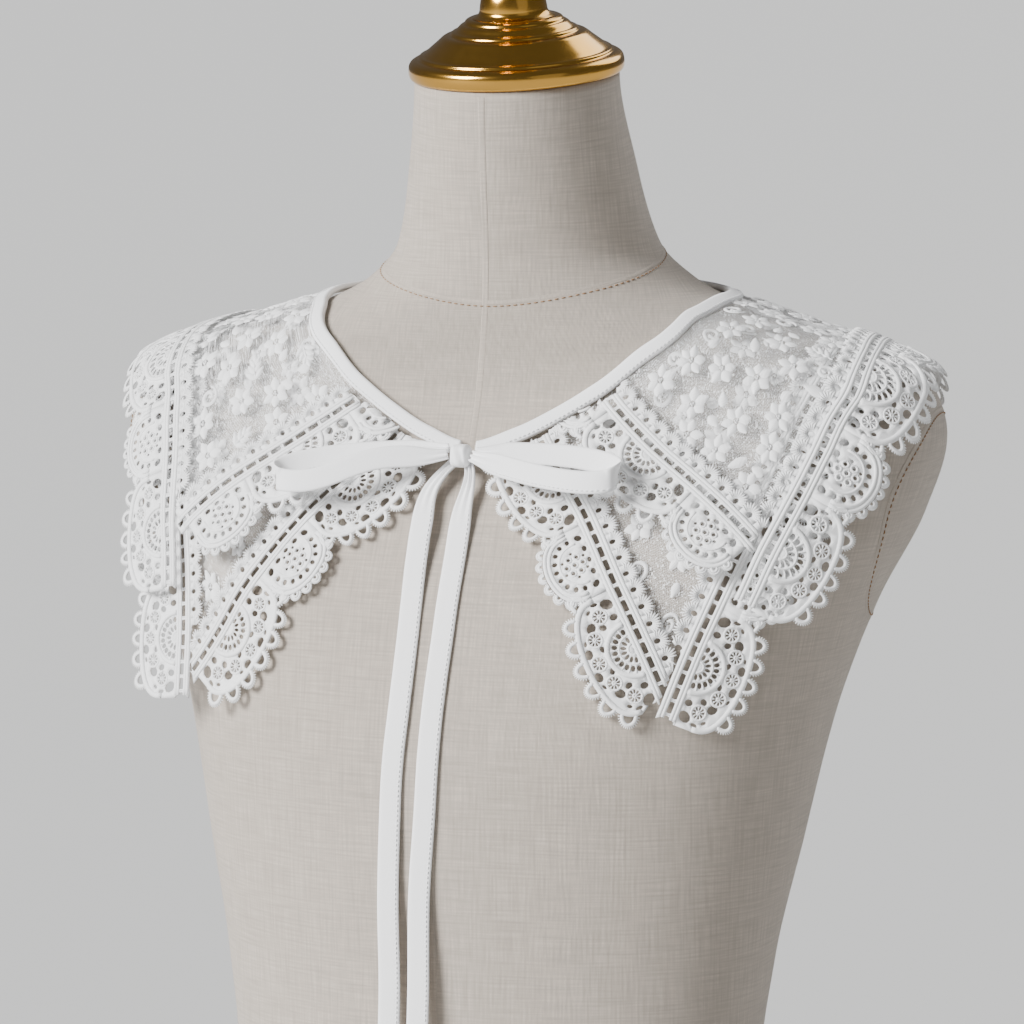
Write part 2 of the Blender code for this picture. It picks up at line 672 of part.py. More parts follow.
def add_trims(name, drape, patterns, lift):
    """The lace edging of one layer; its front and back runs end against the side runs."""
    sides = [strip(patterns["side_left"], -LASH_REACH - SEAM_GAP, 0.010, 0.012),
             strip(patterns["side_right"], -LASH_REACH - SEAM_GAP, 0.010, 0.012)]
    ends = {
        "front_left": [sides[0]],
        "front_right": [sides[1]],
        "back": [sides[0], whole_turn(sides[1])],
    }
    for run_name, pattern in patterns.items():
        clips = [above_neck()] + ends.get(run_name, [])
        outline, gaps = run_shape(pattern.run)
        outline = flat(pattern.place(*np.transpose(outline)))
        holes = [flat(pattern.place(*np.transpose(ring))) for ring in gaps]
        holes = [ring for ring in holes if clear_of(ring, clips)]
        seed = flat(pattern.place(pattern.length / 2, 0.002))
        places, faces = cut(outline, holes, clips, seed, run_points(pattern))
        cloth_solid(f"{name}_trim_{run_name}", drape, places, faces,
                    lambda drops: lift(drops) + CLOTH + LAYER_GAP)


def add_panel(name, drape, patterns, lift):
    """The net panel of one layer, cut back to where its edging is lashed on."""
    turns = np.arange(PANEL_START, 2 * math.pi - PANEL_START + 1e-9, CURVE_STEP)
    outline = [(turn, 0.0) for turn in turns] + [(turns[-1], PANEL_DROP), (turns[0], PANEL_DROP)]
    clips = [strip(pattern, -PANEL_INSET, 0.040, 0.030) for pattern in patterns.values()]
    clips = [whole_turn(ring) if name.endswith("right") else ring
             for name, ring in zip(patterns, clips)]
    outline = flat(outline)
    seed = flat((math.pi, PANEL_SEED))
    places, faces = cut(outline, [], clips, seed, even_points(outline))
    cloth_solid(f"{name}_panel", drape, places, faces, lift)


def clear_of(ring, clips):
    """Whether a gap keeps a margin from everything that is clipped away."""
    if any(inside(ring, clip).any() for clip in clips):
        return False
    return edge_distance(ring, clips).min() > GAP_MARGIN


def bar_faces(around, along):
    """Faces of a closed bar made of rings of points, with flat ends."""
    last = around * (along - 1)
    faces = [tuple(range(around)), tuple(range(last, last + around))]
    for ring in range(along - 1):
        for k in range(around):
            a, b = ring * around + k, ring * around + (k + 1) % around
            faces += [(a, b, b + around), (a, b + around, a + around)]
    return faces


def sweep_tape(name, centres, across, out):
    """A flat tape along a line of centres."""
    half, thick = TAPE_WIDTH / 2, TAPE_THICK / 2
    section = ((-half, -thick), (half, -thick), (half, thick), (-half, thick))
    vertices = [centre + side * wide + outward * high
                for centre, side, outward in zip(centres, across, out) for wide, high in section]
    return add_solid(name, vertices, bar_faces(len(section), len(centres)), TAPE)


def unit(vectors):
    """Vectors scaled to a length of one."""
    return vectors / np.linalg.norm(vectors, axis=-1, keepdims=True)


def square_to(vectors, axes):
    """The part of each vector that is square to its axis, as a unit vector."""
    return unit(vectors - axes * (vectors * axes).sum(-1, keepdims=True))


def add_neckband(drape):
    """Folded tape that binds the two panels along the neckline."""
    layers = FORM_GAP + 2 * CLOTH + LAYER_GAP
    vertices = []
    for turn in np.radians(np.linspace(BAND_START, 360 - BAND_START, BAND_STEPS)):
        vertices += [drape.point(turn, row.drop, row.lift + layers * row.over_layers)
                     for row in BAND_SECTION]
    add_solid("neckband", vertices, bar_faces(len(BAND_SECTION), BAND_STEPS), TAPE)


def add_tails(drape):
    """The two free ends of the tape, which hang on the form."""
    for name, rows in TAILS.items():
        drops = np.array([row.drop for row in rows])
        along = drops - drops[0]
        fine = np.linspace(0, along[-1], TAIL_STEPS)
        turns = np.radians(smooth_route(along, np.array([row.azimuth for row in rows]), fine))
        lifts = smooth_route(along, np.array([row.lift for row in rows]), fine)
        drops = smooth_route(along, drops, fine)
        centres = drape.point(turns, drops, lifts)
        heading = unit(np.gradient(centres, axis=0))
        across = unit(np.cross(drape.read(drape.normals, turns, drops), heading))
        sweep_tape(name, centres, across, np.cross(heading, across))


def add_loops():
    """The two loops of the bow: out along the back strand, and home along the front."""
    for name, loop in LOOPS.items():
        root, tip = np.array(loop.root), np.array(loop.tip)
        reach = tip - root
        front = square_to(LOOP_FRONT, unit(reach))
        down = np.cross(unit(reach), front)
        down *= -np.sign(down[2])
        turns = np.linspace(-LOOP_TURN, LOOP_TURN, LOOP_STEPS)
        far = (1 + np.cos(turns)) / 2
        depth = loop.opening * np.sin(turns) * far ** LOOP_TAPER + ROOT_GAP * np.sign(turns)
        centres = root + np.outer(far, reach) + np.outer(depth, front + loop.shear * down)
        heading = unit(np.gradient(centres, axis=0))
        across = square_to(np.tile(down, (LOOP_STEPS, 1)), heading)
        sweep_tape(name, centres, across, np.cross(heading, across))


def add_knot():
    """The knot, a soft block a little flatter than it is wide."""
    vertices = []
    for ring in range(1, KNOT_RINGS):
        polar = math.pi * ring / KNOT_RINGS
        for k in range(KNOT_SIDES):
            turn = 2 * math.pi * k / KNOT_SIDES
            way = (math.sin(polar) * math.cos(turn), math.sin(polar) * math.sin(turn), math.cos(polar))
            way = [math.copysign(abs(value) ** KNOT_ROUNDNESS, value) for value in way]
            vertices.append([c + half * v for c, half, v in zip(KNOT_CENTRE, KNOT_HALF, way)])
    add_solid("knot", vertices, bar_faces(KNOT_SIDES, KNOT_RINGS - 1), TAPE)


def add_form():
    """Linen-covered body, in rings evenly spaced along its side."""
    heights = np.linspace(0, FORM_SECTIONS[-1].height, 600)
    widths = [form_section(height).half_width for height in heights]
    along = np.append(0, np.cumsum(np.hypot(np.diff(heights), np.diff(widths))))
    rings = np.interp(np.linspace(0, along[-1], FORM_RINGS), along, heights)
    turns = np.linspace(0, 2 * math.pi, FORM_SIDES, endpoint=False)
    top = FORM_SECTIONS[-1].height
    vertices = []
    for height in rings:
        tilt = math.tan(NECK_TILT) * float(ease((height - TILT_START) / (top - TILT_START)))
        vertices += [(radius * math.sin(turn), -radius * math.cos(turn),
                      height - tilt * radius * math.cos(turn))
                     for radius, turn in zip(form_radius(height, turns), turns)]
    add_solid("dress_form", vertices, bar_faces(FORM_SIDES, FORM_RINGS), LINEN, smooth=True)


def add_turned(name, profile, sides):
    """A solid turned about the axis of the neck's top, from its profile."""
    top = FORM_SECTIONS[-1].height
    cos, sin = math.cos(NECK_TILT), math.sin(NECK_TILT)
    turns = np.linspace(0, 2 * math.pi, sides, endpoint=False)
    vertices = [(radius * math.cos(turn), radius * math.sin(turn) * cos - height * sin,
                 top + height * cos + radius * math.sin(turn) * sin)
                for radius, height in profile for turn in turns]
    add_solid(name, vertices, bar_faces(sides, len(profile)), BRASS, smooth=True)


def main():
    for item in list(bpy.data.objects):
        bpy.data.objects.remove(item)
    drape = Drape()
    add_form()
    add_turned("neck_cap", CAP_PROFILE, CAP_SIDES)
    add_turned("finial", FINIAL_PROFILE, FINIAL_SIDES)
    for name, runs, lift in (("lower", LOWER_RUNS, lower_lift), ("upper", UPPER_RUNS, upper_lift)):
        patterns = {run.name: RunPattern(drape, run) for run in runs}
        add_panel(name, drape, patterns, lift)
        add_trims(name, drape, patterns, lift)
    add_neckband(drape)
    add_knot()
    add_loops()
    add_tails(drape)


if __name__ == "__main__":
    main()
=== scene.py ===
"""Lace cape collar on a dress form: the detailed surfaces, the studio and the camera.

Everything is in metres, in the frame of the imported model: +Z up, the form's front at -Y.
A place on the cloth is an azimuth about the neck (0 at the front, positive to the
wearer's left) and a drop, the length of cloth below the neckline. A place on an edging
run is measured along its ladder line, and out from that line towards the scallops.
"""

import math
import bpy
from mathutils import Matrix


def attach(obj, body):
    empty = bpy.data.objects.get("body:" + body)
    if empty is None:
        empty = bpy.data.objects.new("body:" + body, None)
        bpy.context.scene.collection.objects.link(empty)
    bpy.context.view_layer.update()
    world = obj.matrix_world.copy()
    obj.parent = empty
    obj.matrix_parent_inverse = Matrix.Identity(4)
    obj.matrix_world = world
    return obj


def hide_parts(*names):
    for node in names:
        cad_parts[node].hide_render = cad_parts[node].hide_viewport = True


bl_info = {
    "name": "Lace Cape Collar",
    "version": (1, 0, 0),
    "blender": (4, 5, 0),
    "location": "3D View > Sidebar > Collar",
    "description": "Builds a two-layer lace collar with a tape bow on a dress form",
    "category": "Object",
}

from collections import namedtuple

import bpy
import numpy as np
from mathutils import Vector
from mathutils.geometry import delaunay_2d_cdt

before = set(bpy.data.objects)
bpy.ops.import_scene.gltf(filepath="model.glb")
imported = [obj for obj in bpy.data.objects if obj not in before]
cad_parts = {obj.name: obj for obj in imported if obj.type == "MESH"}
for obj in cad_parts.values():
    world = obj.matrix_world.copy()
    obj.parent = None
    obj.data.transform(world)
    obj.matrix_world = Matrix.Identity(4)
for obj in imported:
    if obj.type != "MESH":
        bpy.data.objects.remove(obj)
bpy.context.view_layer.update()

# Dress form: half sizes of each level section, and how far its centre lies behind the
# neck's axis, which is at the neck's top.
# A squareness of 2 is an ellipse, and more is boxier.
Section = namedtuple("Section", "height half_width depth centre squareness")
FORM_SECTIONS = (
    Section(0.000, 0.1540, 0.1010, -0.0110, 2.2),
    Section(0.055, 0.1460, 0.0955, -0.0175, 2.2),
    Section(0.110, 0.1340, 0.0880, -0.0280, 2.2),
    Section(0.165, 0.1400, 0.0930, -0.0250, 2.2),
    Section(0.225, 0.1520, 0.1035, -0.0175, 2.2),
    Section(0.285, 0.1640, 0.1105, -0.0085, 2.3),
    Section(0.340, 0.1810, 0.1075, 0.0025, 2.6),
    Section(0.385, 0.2020, 0.0980, 0.0140, 2.8),
    Section(0.420, 0.2110, 0.0880, 0.0230, 2.8),
    Section(0.443, 0.2050, 0.0820, 0.0270, 2.6),
    Section(0.458, 0.1800, 0.0785, 0.0275, 2.4),
    Section(0.471, 0.1430, 0.0750, 0.0270, 2.3),
    Section(0.483, 0.1090, 0.0720, 0.0260, 2.2),
    Section(0.496, 0.0830, 0.0685, 0.0235, 2.1),
    Section(0.514, 0.0660, 0.0630, 0.0180, 2.0),
    Section(0.550, 0.0570, 0.0570, 0.0090, 2.0),
    Section(0.598, 0.0508, 0.0508, 0.0000, 2.0),
)

# The neck's top and its cap lean forward by this angle, which sets in above a height.
NECK_TILT = math.radians(9)
TILT_START = 0.510

# Neckline: height of the band's lower edge on the form, by azimuth in degrees.
NecklinePoint = namedtuple("NecklinePoint", "azimuth height")
NECKLINE = (
    NecklinePoint(0, 0.4130),
    NecklinePoint(20, 0.4200),
    NecklinePoint(36, 0.4300),
    NecklinePoint(50, 0.4430),
    NecklinePoint(64, 0.4625),
    NecklinePoint(80, 0.4785),
    NecklinePoint(100, 0.4840),
    NecklinePoint(140, 0.4850),
    NecklinePoint(180, 0.4830),
)
BAND_WIDTH = 0.008

# How far the stiff lace stands off: metres outwards for each metre that it hangs, by
# azimuth in degrees.
StandOff = namedtuple("StandOff", "azimuth slope")
STAND_OFF = (
    StandOff(-180, 0.00),
    StandOff(-125, 0.04),
    StandOff(-98, 0.26),
    StandOff(-80, 0.38),
    StandOff(-60, 0.24),
    StandOff(-35, 0.06),
    StandOff(0, 0.00),
    StandOff(50, 0.00),
    StandOff(80, 0.10),
    StandOff(95, 0.12),
    StandOff(125, 0.04),
    StandOff(180, 0.00),
)

# Drape surface: grid steps, and how far above and below the neckline it reaches.
GRID_TURN = math.radians(2)
GRID_DROP = 0.002
DROP_ABOVE = 0.044
DROP_BELOW = 0.390
TOP_OF_DRAPE = 0.530
WIDE_ENOUGH = 0.060

# Cloth: thickness, and the gaps to what lies under it and beside it.
CLOTH = 0.0010
LAYER_GAP = 0.0009
SEAM_GAP = 0.0005
FORM_GAP = 0.0008
# The upper layer rises clear of the lower one's edging, and a little more lower down.
RISE_DROP = 0.012
FLARE_DROP = 0.100
FLARE_LIFT = 0.0025


# Lace edging across its width, from the ladder line: how far inwards the lashes reach,
# and where the net panel stops under them.
LASH_REACH = 0.013
PANEL_INSET = 0.0085
SCALLOP_LENGTHS = {"A": 0.060, "B": 0.036}

# Edging runs: places on the drape in degrees of azimuth and metres of drop. The first
# scallop begins at `begin`, measured along the ladder line.
Run = namedtuple("Run", "name side begin scallops path")
UPPER_RUNS = (
    Run("front_left", -1, -0.026, "BAB", (
        (51.5, 0.000), (58.5, 0.057), (65, 0.116))),
    Run("front_right", 1, -0.026, "BAB", (
        (-47, 0.000), (-53, 0.030), (-58, 0.064), (-63, 0.105))),
    Run("side_left", -1, 0.000, "ABABAB", (
        (61, 0.130), (65.5, 0.114), (73, 0.098), (79.5, 0.088), (92.5, 0.076), (107, 0.072),
        (120, 0.080), (133, 0.106))),
    Run("side_right", 1, 0.000, "ABABAB", (
        (-62.5, 0.140), (-65, 0.120), (-69.5, 0.097), (-77.5, 0.078), (-93, 0.068), (-107, 0.068),
        (-120, 0.078), (-133, 0.106))),
    Run("back", -1, -0.018, "ABABABA", (
        (129, 0.096), (180, 0.096), (231, 0.096))),
)
LOWER_RUNS = (
    Run("front_left", -1, -0.041, "BABA", (
        (29, 0.000), (37.5, 0.042), (42.5, 0.096), (49, 0.155))),
    Run("front_right", 1, -0.031, "BABA", (
        (-30, 0.000), (-42, 0.050), (-48, 0.101), (-57.5, 0.175))),
    Run("side_left", -1, 0.000, "ABABABABB", (
        (48.5, 0.164), (54, 0.136), (60.5, 0.112), (71, 0.084), (77, 0.074), (97, 0.062),
        (117, 0.072), (131, 0.104), (141, 0.146))),
    Run("side_right", 1, 0.000, "ABABABABB", (
        (-57.5, 0.183), (-60, 0.150), (-63.5, 0.121), (-70, 0.090), (-77, 0.074), (-97, 0.062),
        (-117, 0.072), (-131, 0.104), (-141, 0.146))),
    Run("back", -1, -0.018, "ABABA", (
        (139, 0.138), (180, 0.142), (221, 0.138))),
)
RUN_STEP = 0.004
RUN_ACROSS = 0.002
RUN_SPARE = 0.060
RUN_INNER = 0.018
RUN_OUTER = 0.046


# Tie: folded tape in a bow, as places on the drape and points in space.
TAPE_WIDTH = 0.011
TAPE_THICK = 0.0012
TailPoint = namedtuple("TailPoint", "azimuth drop lift")
TAILS = {
    "tail_left": (
        TailPoint(1.6, 0.0020, 0.0072),
        TailPoint(3.9, 0.0110, 0.0074),
        TailPoint(2.0, 0.030, 0.0030),
        TailPoint(1.5, 0.055, 0.0013),
        TailPoint(1.0, 0.084, 0.0012),
        TailPoint(0.0, 0.122, 0.0012),
        TailPoint(-1.0, 0.169, 0.0014),
        TailPoint(-2.5, 0.217, 0.0020),
        TailPoint(-2.5, 0.262, 0.0030),
        TailPoint(-3.0, 0.306, 0.0040),
    ),
    "tail_right": (
        TailPoint(-2.0, 0.0025, 0.0070),
        TailPoint(-6.5, 0.0110, 0.0072),
        TailPoint(-10.5, 0.022, 0.0054),
        TailPoint(-10.5, 0.042, 0.0048),
        TailPoint(-10.0, 0.056, 0.0030),
        TailPoint(-9.0, 0.078, 0.0012),
        TailPoint(-8.5, 0.125, 0.0012),
        TailPoint(-9.5, 0.172, 0.0014),
        TailPoint(-10.0, 0.221, 0.0020),
        TailPoint(-9.5, 0.268, 0.0030),
        TailPoint(-10.0, 0.312, 0.0040),
    ),
}
Loop = namedtuple("Loop", "root tip opening shear rise")
LOOPS = {
    "bow_left": Loop((0.0045, -0.0788, 0.4170), (0.0835, -0.0930, 0.4105), 0.0085, 0.9, 0.0),
    "bow_right": Loop((-0.0045, -0.0790, 0.4180), (-0.0905, -0.0930, 0.4050), 0.0086, 0.9, 0.0055),
}

# Neck cap and finial, turned about the neck's axis: radius and height above the neck.
CAP_PROFILE = (
    (0.0500, 0.0004), (0.0522, 0.0004), (0.0534, 0.0020), (0.0537, 0.0050), (0.0530, 0.0085),
    (0.0500, 0.0100), (0.0482, 0.0103), (0.0480, 0.0118), (0.0460, 0.0122), (0.0425, 0.0150),
    (0.0378, 0.0188), (0.0360, 0.0204), (0.0340, 0.0212), (0.0318, 0.0214), (0.0314, 0.0228),
    (0.0290, 0.0236), (0.0266, 0.0262), (0.0246, 0.0268), (0.0242, 0.0282), (0.0225, 0.0290),
)
FINIAL_PROFILE = (
    (0.0205, 0.0293), (0.0170, 0.0310), (0.0166, 0.0350), (0.0155, 0.0400), (0.0128, 0.0445),
    (0.0108, 0.0470), (0.0112, 0.0485), (0.0092, 0.0500), (0.0108, 0.0520), (0.0092, 0.0540),
    (0.0108, 0.0560), (0.0092, 0.0580), (0.0106, 0.0600), (0.0085, 0.0620), (0.0125, 0.0660),
    (0.0148, 0.0720), (0.0150, 0.0760), (0.0135, 0.0810), (0.0100, 0.0850), (0.0045, 0.0875),
)
def smooth_curve(places, values, at):
    """Monotone cubic through the given points, so that no section overshoots."""
    places = np.asarray(places, float)
    values = np.asarray(values, float)
    at = np.clip(np.asarray(at, float), places[0], places[-1])
    gaps = np.diff(places)
    slopes = np.diff(values) / gaps
    tangents = np.zeros(len(places))
    for i in range(1, len(places) - 1):
        if slopes[i - 1] * slopes[i] > 0:
            tangents[i] = 2 * slopes[i - 1] * slopes[i] / (slopes[i - 1] + slopes[i])
    i = np.clip(np.searchsorted(places, at) - 1, 0, len(gaps) - 1)
    t = (at - places[i]) / gaps[i]
    return (values[i] * (1 + 2 * t) * (1 - t) ** 2 + tangents[i] * gaps[i] * t * (1 - t) ** 2
            + values[i + 1] * t * t * (3 - 2 * t) + tangents[i + 1] * gaps[i] * t * t * (t - 1))


def form_section(height):
    """The form's section at a height, between the rows of FORM_SECTIONS."""
    heights = [row.height for row in FORM_SECTIONS]
    fields = [smooth_curve(heights, [getattr(row, name) for row in FORM_SECTIONS], height)
              for name in Section._fields[1:]]
    return Section(height, *[float(value) for value in fields])


def form_radius(height, azimuths):
    """Distance from the neck's axis to the form at a height, for azimuths in radians."""
    section = form_section(height)
    turn = np.linspace(-math.pi, math.pi, 721)
    power = 2 / section.squareness
    x = section.half_width * np.sign(np.sin(turn)) * np.abs(np.sin(turn)) ** power
    y = section.centre - section.depth * np.sign(np.cos(turn)) * np.abs(np.cos(turn)) ** power
    around = np.unwrap(np.arctan2(x, -y))
    return np.interp(azimuths, around, np.hypot(x, y), period=2 * math.pi)


def neckline_height(azimuths):
    """Height of the neckline at azimuths in radians, the same on both sides."""
    degrees = np.abs(np.degrees((azimuths + math.pi) % (2 * math.pi) - math.pi))
    return smooth_curve([row.azimuth for row in NECKLINE],
                        [row.height for row in NECKLINE], degrees)


def stand_off(azimuths):
    """Slope away from the vertical of cloth that hangs clear, at azimuths in radians."""
    degrees = np.degrees((azimuths + math.pi) % (2 * math.pi) - math.pi)
    return smooth_curve([row.azimuth for row in STAND_OFF],
                        [row.slope for row in STAND_OFF], degrees)


class Drape:
    """The surface the cloth lies on, as a grid over azimuth and drop."""

    def __init__(self):
        self.turns = np.arange(-math.pi, 3 * math.pi + 1e-9, GRID_TURN)
        self.drops = np.arange(-DROP_ABOVE, DROP_BELOW + 1e-9, GRID_DROP)
        heights = np.concatenate([np.arange(TOP_OF_DRAPE, 0.40, -0.0008),
                                  np.arange(0.40, 0, -0.003)])
        radii = np.array([form_radius(height, self.turns) for height in heights])
        slopes = stand_off(self.turns)
        for i in range(1, len(heights)):
            hung = radii[i - 1] + slopes * (heights[i - 1] - heights[i])
            radii[i] = np.maximum(radii[i], np.where(radii[i - 1] > WIDE_ENOUGH, hung, 0))
        necks = neckline_height(self.turns)
        grid = np.zeros((len(self.turns), len(self.drops), 3))
        for i, turn in enumerate(self.turns):
            steps = np.hypot(np.diff(heights), np.diff(radii[:, i]))
            length = np.concatenate([[0], np.cumsum(steps)])
            length -= np.interp(-necks[i], -heights, length)
            radius = np.interp(self.drops, length, radii[:, i])
            height = np.interp(self.drops, length, heights)
            grid[i] = np.stack([radius * math.sin(turn), -radius * math.cos(turn), height], 1)
        self.grid = grid
        across = np.gradient(grid, axis=0)
        down = np.gradient(grid, axis=1)
        normals = np.cross(down, across)
        self.normals = normals / np.linalg.norm(normals, axis=2, keepdims=True)

    def read(self, table, turns, drops):
        """Value of a grid table between its points."""
        i = (np.asarray(turns) - self.turns[0]) / GRID_TURN
        j = (np.asarray(drops) - self.drops[0]) / GRID_DROP
        i = np.clip(i, 0, len(self.turns) - 1.001)
        j = np.clip(j, 0, len(self.drops) - 1.001)
        i0, j0 = i.astype(int), j.astype(int)
        p, q = (i - i0)[..., None], (j - j0)[..., None]
        return ((table[i0, j0] * (1 - p) + table[i0 + 1, j0] * p) * (1 - q)
                + (table[i0, j0 + 1] * (1 - p) + table[i0 + 1, j0 + 1] * p) * q)

    def point(self, turns, drops, lift=0.0):
        """Points on the surface, moved out by a lift."""
        lift = np.asarray(lift)[..., None]
        return self.read(self.grid, turns, drops) + self.read(self.normals, turns, drops) * lift

    def step(self, turns, drops, move):
        """Azimuth and drop after a small move in space, kept on the surface."""
        d_turn, d_drop = math.radians(1.5), 0.003
        across = (self.point(turns + d_turn, drops) - self.point(turns - d_turn, drops)) / (2 * d_turn)
        down = (self.point(turns, drops + d_drop) - self.point(turns, drops - d_drop)) / (2 * d_drop)
        aa, bb, ab = (across ** 2).sum(-1), (down ** 2).sum(-1), (across * down).sum(-1)
        ma, mb = (move * across).sum(-1), (move * down).sum(-1)
        scale = np.maximum(aa * bb - ab * ab, 1e-6)
        return turns + (ma * bb - mb * ab) / scale, drops + (mb * aa - ma * ab) / scale


class RunPattern:
    """Pattern coordinates of one edging run, laid on the drape as a grid."""

    def __init__(self, drape, run):
        self.run = run
        route = np.array([(math.radians(turn), drop) for turn, drop in run.path])
        places = np.concatenate([[0], np.cumsum(self.lengths(drape, route))])
        fine = np.linspace(0, places[-1], 160)
        route = np.stack([smooth_route(places, route[:, k], fine) for k in (0, 1)], 1)
        along = np.concatenate([[0], np.cumsum(self.lengths(drape, route))])
        self.length = along[-1]
        self.along = np.arange(-RUN_SPARE, self.length + RUN_SPARE, RUN_STEP)
        turns = self.extended(along, route[:, 0])
        drops = self.extended(along, route[:, 1])
        middle = int(round(RUN_INNER / RUN_ACROSS))
        outermost = int(round(RUN_OUTER / RUN_ACROSS))
        self.across = np.arange(-middle, outermost + 1) * RUN_ACROSS
        self.grid = np.zeros((len(self.along), len(self.across), 2))
        self.grid[:, middle] = np.stack([turns, drops], 1)
        points = drape.point(turns, drops)
        tangents = np.gradient(points, axis=0)
        tangents /= np.linalg.norm(tangents, axis=1, keepdims=True)
        normals = drape.read(drape.normals, turns, drops)
        outward = np.cross(normals, tangents) * run.side
        self.march(drape, turns, drops, outward, middle, 1)
        self.march(drape, turns, drops, -outward, middle, -1)

    @staticmethod
    def lengths(drape, route):
        points = drape.point(route[:, 0], route[:, 1])
        return np.linalg.norm(np.diff(points, axis=0), axis=1)

    def extended(self, along, values):
        """Values along the run, carried straight on past both of its ends."""
        inside = np.interp(self.along, along, values)
        first = (values[4] - values[0]) / (along[4] - along[0])
        last = (values[-1] - values[-5]) / (along[-1] - along[-5])
        inside += np.minimum(self.along, 0) * first
        return inside + np.maximum(self.along - self.length, 0) * last

    def march(self, drape, turns, drops, direction, column, sign):
        """Carry each place straight out across the surface, one step at a time."""
        while 0 < column + sign + 1 and column + sign < len(self.across):
            column += sign
            direction = direction / np.linalg.norm(direction, axis=1, keepdims=True)
            turns, drops = drape.step(turns, drops, direction * RUN_ACROSS)
            self.grid[:, column] = np.stack([turns, drops], 1)
            normals = drape.read(drape.normals, turns, drops)
            direction = direction - normals * (direction * normals).sum(1, keepdims=True)

    def place(self, along, out):
        """Azimuth and drop of a place given in the run's own coordinates."""
        i = np.clip((np.asarray(along) - self.along[0]) / RUN_STEP, 0, len(self.along) - 1.001)
        j = np.clip((np.asarray(out) - self.across[0]) / RUN_ACROSS, 0, len(self.across) - 1.001)
        i0, j0 = i.astype(int), j.astype(int)
        p, q = (i - i0)[..., None], (j - j0)[..., None]
        return ((self.grid[i0, j0] * (1 - p) + self.grid[i0 + 1, j0] * p) * (1 - q)
                + (self.grid[i0, j0 + 1] * (1 - p) + self.grid[i0 + 1, j0 + 1] * p) * q)


def smooth_route(places, values, at):
    """Smooth curve through a few places, with the mean slope at each."""
    slopes = np.diff(values) / np.diff(places)
    tangents = np.concatenate([[slopes[0]], (slopes[1:] + slopes[:-1]) / 2, [slopes[-1]]])
    i = np.clip(np.searchsorted(places, at) - 1, 0, len(slopes) - 1)
    gaps = np.diff(places)[i]
    t = (at - places[i]) / gaps
    return (values[i] * (1 + 2 * t) * (1 - t) ** 2 + tangents[i] * gaps * t * (1 - t) ** 2
            + values[i + 1] * t * t * (3 - 2 * t) + tangents[i + 1] * gaps * t * t * (t - 1))


def inside(points, ring):
    """Which points lie inside a closed ring."""
    result = np.zeros(len(points), bool)
    x, y = points[:, 0], points[:, 1]
    for (x0, y0), (x1, y1) in zip(ring, np.roll(ring, -1, axis=0)):
        if y0 != y1:
            crossing = x0 + (y - y0) * (x1 - x0) / (y1 - y0)
            result ^= ((y0 > y) != (y1 > y)) & (x < crossing)
    return result


def edge_distance(points, rings):
    """Distance from each point to the nearest edge of the rings."""
    best = np.full(len(points), 1.0)
    for ring in rings:
        for start, end in zip(ring, np.roll(ring, -1, axis=0)):
            leg = end - start
            size = max(leg @ leg, 1e-12)
            t = np.clip((points - start) @ leg / size, 0, 1)[:, None]
            best = np.minimum(best, np.linalg.norm(points - start - t * leg, axis=1))
    return best


def ease(value):
    value = np.clip(value, 0, 1)
    return value * value * (3 - 2 * value)


def lower_lift(drops):
    return FORM_GAP + 0 * drops


def upper_lift(drops):
    """The upper layer clears the lower one's edging, and stands off more lower down."""
    step = CLOTH + LAYER_GAP
    rise = step * ease(drops / RISE_DROP) + FLARE_LIFT * ease(drops / FLARE_DROP)
    return FORM_GAP + step + rise


def unit(vectors):
    """Vectors scaled to a length of one."""
    return vectors / np.linalg.norm(vectors, axis=-1, keepdims=True)


def square_to(vectors, axes):
    """The part of each vector that is square to its axis, as a unit vector."""
    return unit(vectors - axes * (vectors * axes).sum(-1, keepdims=True))




def build_object(name, points, faces, uvs, finish, smooth=True):
    """A mesh object from arrays of points, faces and flat places for the weave."""
    mesh = bpy.data.meshes.new(name)
    face_list = [list(face) for group in faces
                 for face in (group.tolist() if isinstance(group, np.ndarray) else group)]
    mesh.from_pydata(np.asarray(points, float).tolist(), [], face_list)
    layer = mesh.uv_layers.new(name="flat")
    corners = np.zeros(len(mesh.loops), int)
    mesh.loops.foreach_get("vertex_index", corners)
    layer.data.foreach_set("uv", np.asarray(uvs, float)[corners].ravel())
    if smooth:
        mesh.shade_smooth()
    mesh.materials.append(finish)
    made = bpy.data.objects.new(name, mesh)
    bpy.context.scene.collection.objects.link(made)
    return made


def bar_faces(around, along, closed=False):
    """Side faces of a bar made of rings of points, and its two ends."""
    rings = along if closed else along - 1
    ring, k = np.meshgrid(np.arange(rings), np.arange(around), indexing="ij")
    after = (ring + 1) % along
    follow = (k + 1) % around
    sides = np.stack([ring * around + k, ring * around + follow,
                      after * around + follow, after * around + k], -1).reshape(-1, 4)
    ends = [] if closed else [list(range(around))[::-1],
                              list(range(around * (along - 1), around * along))]
    return sides, ends


